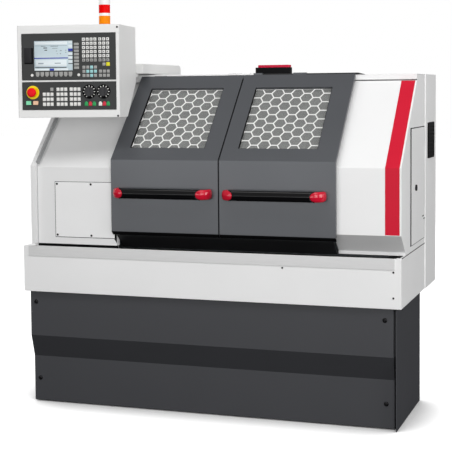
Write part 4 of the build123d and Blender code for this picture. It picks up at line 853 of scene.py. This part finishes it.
def add_field(shape, field, lift):
    """Thin field on the screen: left, top, width and height in thousandths of the screen."""
    left, top, width, height = (share / 1000 for share in field)
    place = on_operator(screen_left + (left + width / 2) * screen_width,
                        screen_top + (top + height / 2) * screen_height, screen_face)
    size = (width * screen_width, height * screen_height, lift)
    add_pad(shape, place, size, field_corner, field_edge, steps=1)


screen_fields = {
    "screen_ground": ("#c3d3da", 0.0003, (
        (0, 0, 1000, 1000),
    )),
    "screen_light": ("#dfe8ec", 0.0005, (
        (20, 30, 840, 100), (40, 650, 800, 200), (890, 30, 100, 60), (890, 150, 100, 80),
        (890, 410, 100, 80), (890, 540, 100, 80), (890, 670, 100, 80), (0, 930, 380, 70),
        (520, 930, 360, 70),
    )),
    "screen_blue": ("#2436a4", 0.0007, (
        (0, 565, 880, 35), (885, 270, 115, 85), (400, 930, 110, 70),
    )),
    "screen_dark": ("#1b2226", 0.0007, (
        (20, 885, 820, 25), (885, 360, 115, 20), (885, 490, 115, 20), (885, 620, 115, 20),
        (885, 760, 115, 25), (240, 225, 100, 30), (270, 300, 70, 30),
    )),
    "screen_grey": ("#8d9aa2", 0.0006, (
        (20, 160, 840, 12), (180, 170, 120, 25), (430, 170, 200, 25), (470, 245, 140, 20),
        (570, 330, 30, 30), (670, 320, 50, 30), (590, 420, 20, 30), (670, 420, 30, 30),
        (810, 310, 30, 30), (810, 380, 30, 30), (100, 740, 140, 40), (530, 740, 160, 30),
    )),
}
for name, (colour, lift, fields) in screen_fields.items():
    field = bmesh.new()
    for place_and_size in fields:
        add_field(field, place_and_size, lift)
    panel_piece(name, field, display(name.replace("screen", "display"), colour))

# Port flap: a black rubber door on the panel's left edge that covers the data ports.
# Under it a black pad, set off to its right and below, is its painted shadow; the flap stands a little proud
# of the panel.
flap_rubber = moulded_plastic("soft_rubber_black", "#2b2b2d", 0.6, ior=1.25)
shadow_place, shadow_size, shadow_corner, shadow_edge = (0.0325, 0.0955), (0.0400, 0.0690, 0.0006), 0.002, 0.0002
flap_place, flap_size, flap_corner, flap_edge = (0.0290, 0.0930), (0.0330, 0.0630, 0.0030), 0.003, 0.0012
flap_painted_shadow = bmesh.new()
add_pad(flap_painted_shadow, on_operator(*shadow_place), shadow_size, shadow_corner, shadow_edge)
panel_piece("flap_painted_shadow", flap_painted_shadow, black_plastic)
flap = bmesh.new()
add_pad(flap, on_operator(*flap_place), flap_size, flap_corner, flap_edge)
panel_piece("port_flap", flap, flap_rubber)

# Machine keys: three blocks of white keys, and a row of small green, red and white keys.
# Each is a raised cap in the membrane, without print.
machine_size = (0.0135, 0.0150)
machine_blocks, machine_drop, machine_pitch = (0.0998, 0.1620, 0.2210), 0.0318, (0.0172, 0.0213)
machine_keys = bmesh.new()
for block_x in machine_blocks:
    first = (block_x, machine_drop)
    blank = ((0, 0), (1, 0), (2, 0)) if block_x == machine_blocks[0] else ()
    add_key_grid(machine_keys, on_machine, first, machine_pitch, (3, 4), machine_size, blank)
panel_piece("machine_keys", machine_keys, key_white)
single_key = bmesh.new()
add_key(single_key, on_machine(machine_blocks[0] + 2 * machine_pitch[0], machine_drop), machine_size)
panel_piece("single_key", single_key, key_grey)
colour_keys = {
    "green_keys": ("#1fa055", (0.2880, 0.3230, 0.3845)),
    "red_keys": ("#d4203c", (0.3055, 0.3675)),
    "white_key": ("#f0eee8", (0.3500,)),
}
house_drop, house_size, house_rise = 0.0940, (0.0150, 0.0185), 0.0018
for name, (colour, places) in colour_keys.items():
    house_keys = bmesh.new()
    for key_x in places:
        add_prism(house_keys, on_machine(key_x, house_drop), house, house_size, house_rise)
    panel_piece(name, house_keys, moulded_plastic(name + "_plastic", colour, 0.4, grain_mm=2.0))

# Emergency stop: a red mushroom head over a round yellow collar on the machine panel.
# The head is a glossy moulded dome that stands for the plain one of the frame.
stop_place = on_machine(0.0487, 0.0448)
collar_yellow = moulded_plastic("collar_yellow", "#f8de06", 0.38, ior=1.3)
stop_red = moulded_plastic("stop_red", "#f01422", 0.36, bump_strength=0.03, ior=1.2)
collar_profile = [(0.0290, 0), (0.0290, 0.0012), (0.0284, 0.0018), (0.0135, 0.0018), (0.0135, 0.0002)]
head_profile = [
    (0.0110, -0.0315), (0.0110, 0.0120), (0.0170, 0.0130), (0.0196, 0.0150), (0.0200, 0.0180),
    (0.0198, 0.0215), (0.0185, 0.0245), (0.0160, 0.0264), (0.0120, 0.0275), (0.0060, 0.0280),
    (0.0015, 0.0280),
]
collar = bmesh.new()
add_turned(collar, stop_place, collar_profile, sides=48)
panel_piece("stop_collar", collar, collar_yellow)
mushroom = bmesh.new()
add_turned(mushroom, stop_place, head_profile, sides=48)
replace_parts(as_piece("stop_head", mushroom, stop_red, "emergency_stop", 50), "emergency_stop")

# Start and stop buttons: square push caps of tinted plastic, green and orange.
# They stay as the frame has them, with rounded edges.
dress(["start_button"], moulded_plastic("cap_green", "#86e8b6", 0.36), edge=0.0012)
dress(["stop_button"], moulded_plastic("cap_orange", "#f8caa6", 0.36), edge=0.0012)

# Override knobs: charcoal skirts with a finger grip, over a black dial of short white ticks.
# The dials are printed on the panel without numbers.
knob_plastic = moulded_plastic("knob_charcoal", "#3c3c3e", 0.4, ior=1.25)
dress(["feed_knob", "speed_knob"], knob_plastic, edge=0.0010)
tick_white = moulded_plastic("print_white", "#f4f4f0", 0.5)
dial_black = moulded_plastic("dial_black", "#060607", 0.6, ior=1.15)
dial_x = (0.301, 0.364)
dial_drop = 0.0427
dial_radius, dial_bore, dial_rise = 0.0310, 0.0150, 0.0003
dial_profile = [(dial_radius, 0), (dial_radius, dial_rise), (dial_bore, dial_rise)]
tick_radius, tick_size = 0.0236, (0.0062, 0.0032, 0.00015)
tick_count = 11
tick_sweep = math.radians(300)
dials = bmesh.new()
ticks = bmesh.new()
for x in dial_x:
    add_turned(dials, on_machine(x, dial_drop), dial_profile, sides=48)
    for i in range(tick_count):
        turn = math.pi / 2 + tick_sweep * (i / (tick_count - 1) - 0.5)
        tick_x, tick_drop = x + tick_radius * math.cos(turn), dial_drop - tick_radius * math.sin(turn)
        spot = on_machine(tick_x, tick_drop, panel_face + dial_rise) @ Matrix.Rotation(turn, 4, "Z")
        add_pad(ticks, spot, tick_size, print_corner, print_edge, steps=1)
as_piece("knob_dials", dials, dial_black, "console")
panel_piece("dial_ticks", ticks, tick_white)

# Console screws: two small dark button-head screws at the right corners of the housing's front.
# They go into the folded edge and hold the front to the housing.
console_screw_x, console_screw_heights, console_screw_radius = 0.4470, (0.3845, 0.0065), 0.0044
console_screws = [on_console(console_screw_x, z, 0) for z in console_screw_heights]
add_bolts("console_screws", console_screws, console_screw_radius, "console")

# Signal tower: white foot, ring and cap with a red and an amber lens between them.
# The lenses are unlit tinted acrylic, and the rings between them are set back a little.
tower_low, tower_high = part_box("signal_tower")
tower_mid = (tower_low + tower_high) / 2
tower_radius = 0.025
foot_height, lens_height, groove, ring_height, cap_rise = 0.004, 0.036, 0.002, 0.012, 0.024
groove_depth = 0.001


def tinted_acrylic(name, colour):
    """Tinted acrylic lens, unlit: a weak clear gloss over a deep colour that changes softly."""
    material, tree, shader = new_material(name, IOR=1.12, Roughness=0.2)
    add_finish(tree, shader, add_noise(tree, 12.0, 1.0), (linear(colour, 0.86), linear(colour)))
    return material


def at_tower(height):
    """Local frame on the tower's axis, a height above its foot."""
    return facing((tower_mid.x, tower_mid.y, tower_low.z + height), (0, 0, 1), (0, 1, 0))


tower_white = moulded_plastic("polycarbonate_white", "#f2f2f0", 0.35)
amber_base = foot_height + groove
red_base = amber_base + lens_height + ring_height
inner = tower_radius - groove_depth
cap_top = groove + cap_rise
tower_sides = 40
tower_edge = 0.001
foot_profile = [
    (tower_radius, 0), (tower_radius, foot_height - tower_edge), (tower_radius - tower_edge, foot_height),
    (inner, foot_height), (inner, amber_base),
]
cap_profile = [
    (inner, 0), (inner, groove), (tower_radius, groove), (tower_radius, cap_top - 0.008),
    (tower_radius - 0.002, cap_top - 0.003), (tower_radius - 0.006, cap_top), (0.004, cap_top),
]
tower_body = bmesh.new()
add_turned(tower_body, at_tower(0), foot_profile, tower_sides)
add_turned(tower_body, at_tower(amber_base + lens_height), [(inner, 0), (inner, ring_height)], tower_sides)
add_turned(tower_body, at_tower(red_base + lens_height), cap_profile, tower_sides)
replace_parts(as_piece("tower_body", tower_body, tower_white, "console"), "signal_tower")
lens_edge, lens_edge_rise = 0.0006, 0.0008
lens_profile = [
    (tower_radius - lens_edge, 0), (tower_radius, lens_edge_rise),
    (tower_radius, lens_height - lens_edge_rise), (tower_radius - lens_edge, lens_height),
]
for name, base, colour in (("amber_lens", amber_base, "#f48a0c"), ("red_lens", red_base, "#e80404")):
    glass = bmesh.new()
    add_turned(glass, at_tower(base), lens_profile, tower_sides)
    as_piece(name, glass, tinted_acrylic(name.replace("lens", "acrylic"), colour), "console")

# Studio: a wide white floor that keeps the machine's shadow, partly cast by the lamps and partly a painted
# shadow near the machine, and a white surround.
# Soft lights hang over the front and stand at both sides of the camera, with others at the ends and back.
floor_size = 60.0
floor_mesh = bpy.data.meshes.new("floor")
half = floor_size / 2
floor_corners = [(-half, -half, 0), (half, -half, 0), (half, half, 0), (-half, half, 0)]
floor_mesh.from_pydata(floor_corners, [], [(0, 1, 2, 3)])
floor = bpy.data.objects.new("floor", floor_mesh)
scene.collection.objects.link(floor)
floor_paint = bpy.data.materials.new("floor_paint")
floor_paint.use_nodes = True
floor_tree = floor_paint.node_tree
floor_tree.nodes.clear()
seen = add_node(floor_tree, "ShaderNodeLightPath").outputs["Is Camera Ray"]
# Painted shadow: the floor's glow, seen only by the camera, fades near the machine by ambient occlusion.
shade_reach, shade_full, shade_none, floor_glow = 0.28, 0.5, 0.95, 0.75
near = add_node(floor_tree, "ShaderNodeAmbientOcclusion", {"Distance": shade_reach, "samples": 16})
glow = add_node(
    floor_tree,
    "ShaderNodeMapRange",
    {"From Min": shade_full, "From Max": shade_none, "To Min": 0.0, "To Max": floor_glow},
    {"Value": near.outputs["AO"]},
)
seen_glow = add_node(
    floor_tree, "ShaderNodeMath", {"operation": "MULTIPLY"}, {0: glow.outputs["Result"], 1: seen}
)
floor_light = add_node(
    floor_tree, "ShaderNodeEmission", {"Color": (1, 1, 1, 1)}, {"Strength": seen_glow.outputs[0]}
)
floor_tone = add_node(
    floor_tree,
    "ShaderNodeMix",
    {"data_type": "RGBA", 6: linear("#3c3c3c"), 7: linear("#f0f0f0")},
    {0: seen},
)
floor_matt = add_node(floor_tree, "ShaderNodeBsdfDiffuse", links={"Color": floor_tone.outputs[2]})
floor_sum = add_node(
    floor_tree, "ShaderNodeAddShader", links={0: floor_light.outputs[0], 1: floor_matt.outputs[0]}
)
add_node(floor_tree, "ShaderNodeOutputMaterial", links={"Surface": floor_sum.outputs[0]})
floor_mesh.materials.append(floor_paint)

surround = bpy.data.worlds.new("surround")
surround.use_nodes = True
scene.world = surround
sky_tree = surround.node_tree
sky_tree.nodes.clear()
sky_seen = add_node(sky_tree, "ShaderNodeLightPath").outputs["Is Camera Ray"]
sky_fill = 0.35
sky_range = {"To Min": sky_fill, "To Max": 1.0}
sky_strength = add_node(sky_tree, "ShaderNodeMapRange", sky_range, {"Value": sky_seen}).outputs["Result"]
sky = add_node(sky_tree, "ShaderNodeBackground", {"Color": (1, 1, 1, 1)}, {"Strength": sky_strength})
add_node(sky_tree, "ShaderNodeOutputWorld", links={"Surface": sky.outputs[0]})

aim = Vector((0, 0, 0.9))
softboxes = {
    "overhead_softbox": ((0.2, -2.4, 4.6), (4.5, 1.6), 75.0),
    "front_softbox": ((3.0, -6.0, 1.8), (3.5, 2.5), 140.0),
    "low_card": ((-1.5, -5.2, 1.0), (3.6, 1.1), 44.0),
    "right_softbox": ((5.5, -1.2, 1.6), (3.0, 2.0), 115.0),
    "left_softbox": ((-5.5, 1.5, 2.4), (3.0, 3.0), 70.0),
    "back_softbox": ((-2.0, 6.0, 3.2), (4.0, 3.0), 110.0),
}
for name, (place, size, power) in softboxes.items():
    lamp = bpy.data.lights.new(name, "AREA")
    lamp.shape = "RECTANGLE"
    lamp.size, lamp.size_y = size
    lamp.energy = power
    softbox = bpy.data.objects.new(name, lamp)
    softbox.location = place
    softbox.rotation_euler = (aim - Vector(place)).to_track_quat("-Z", "Y").to_euler()
    scene.collection.objects.link(softbox)

scene.view_settings.view_transform = "Standard"
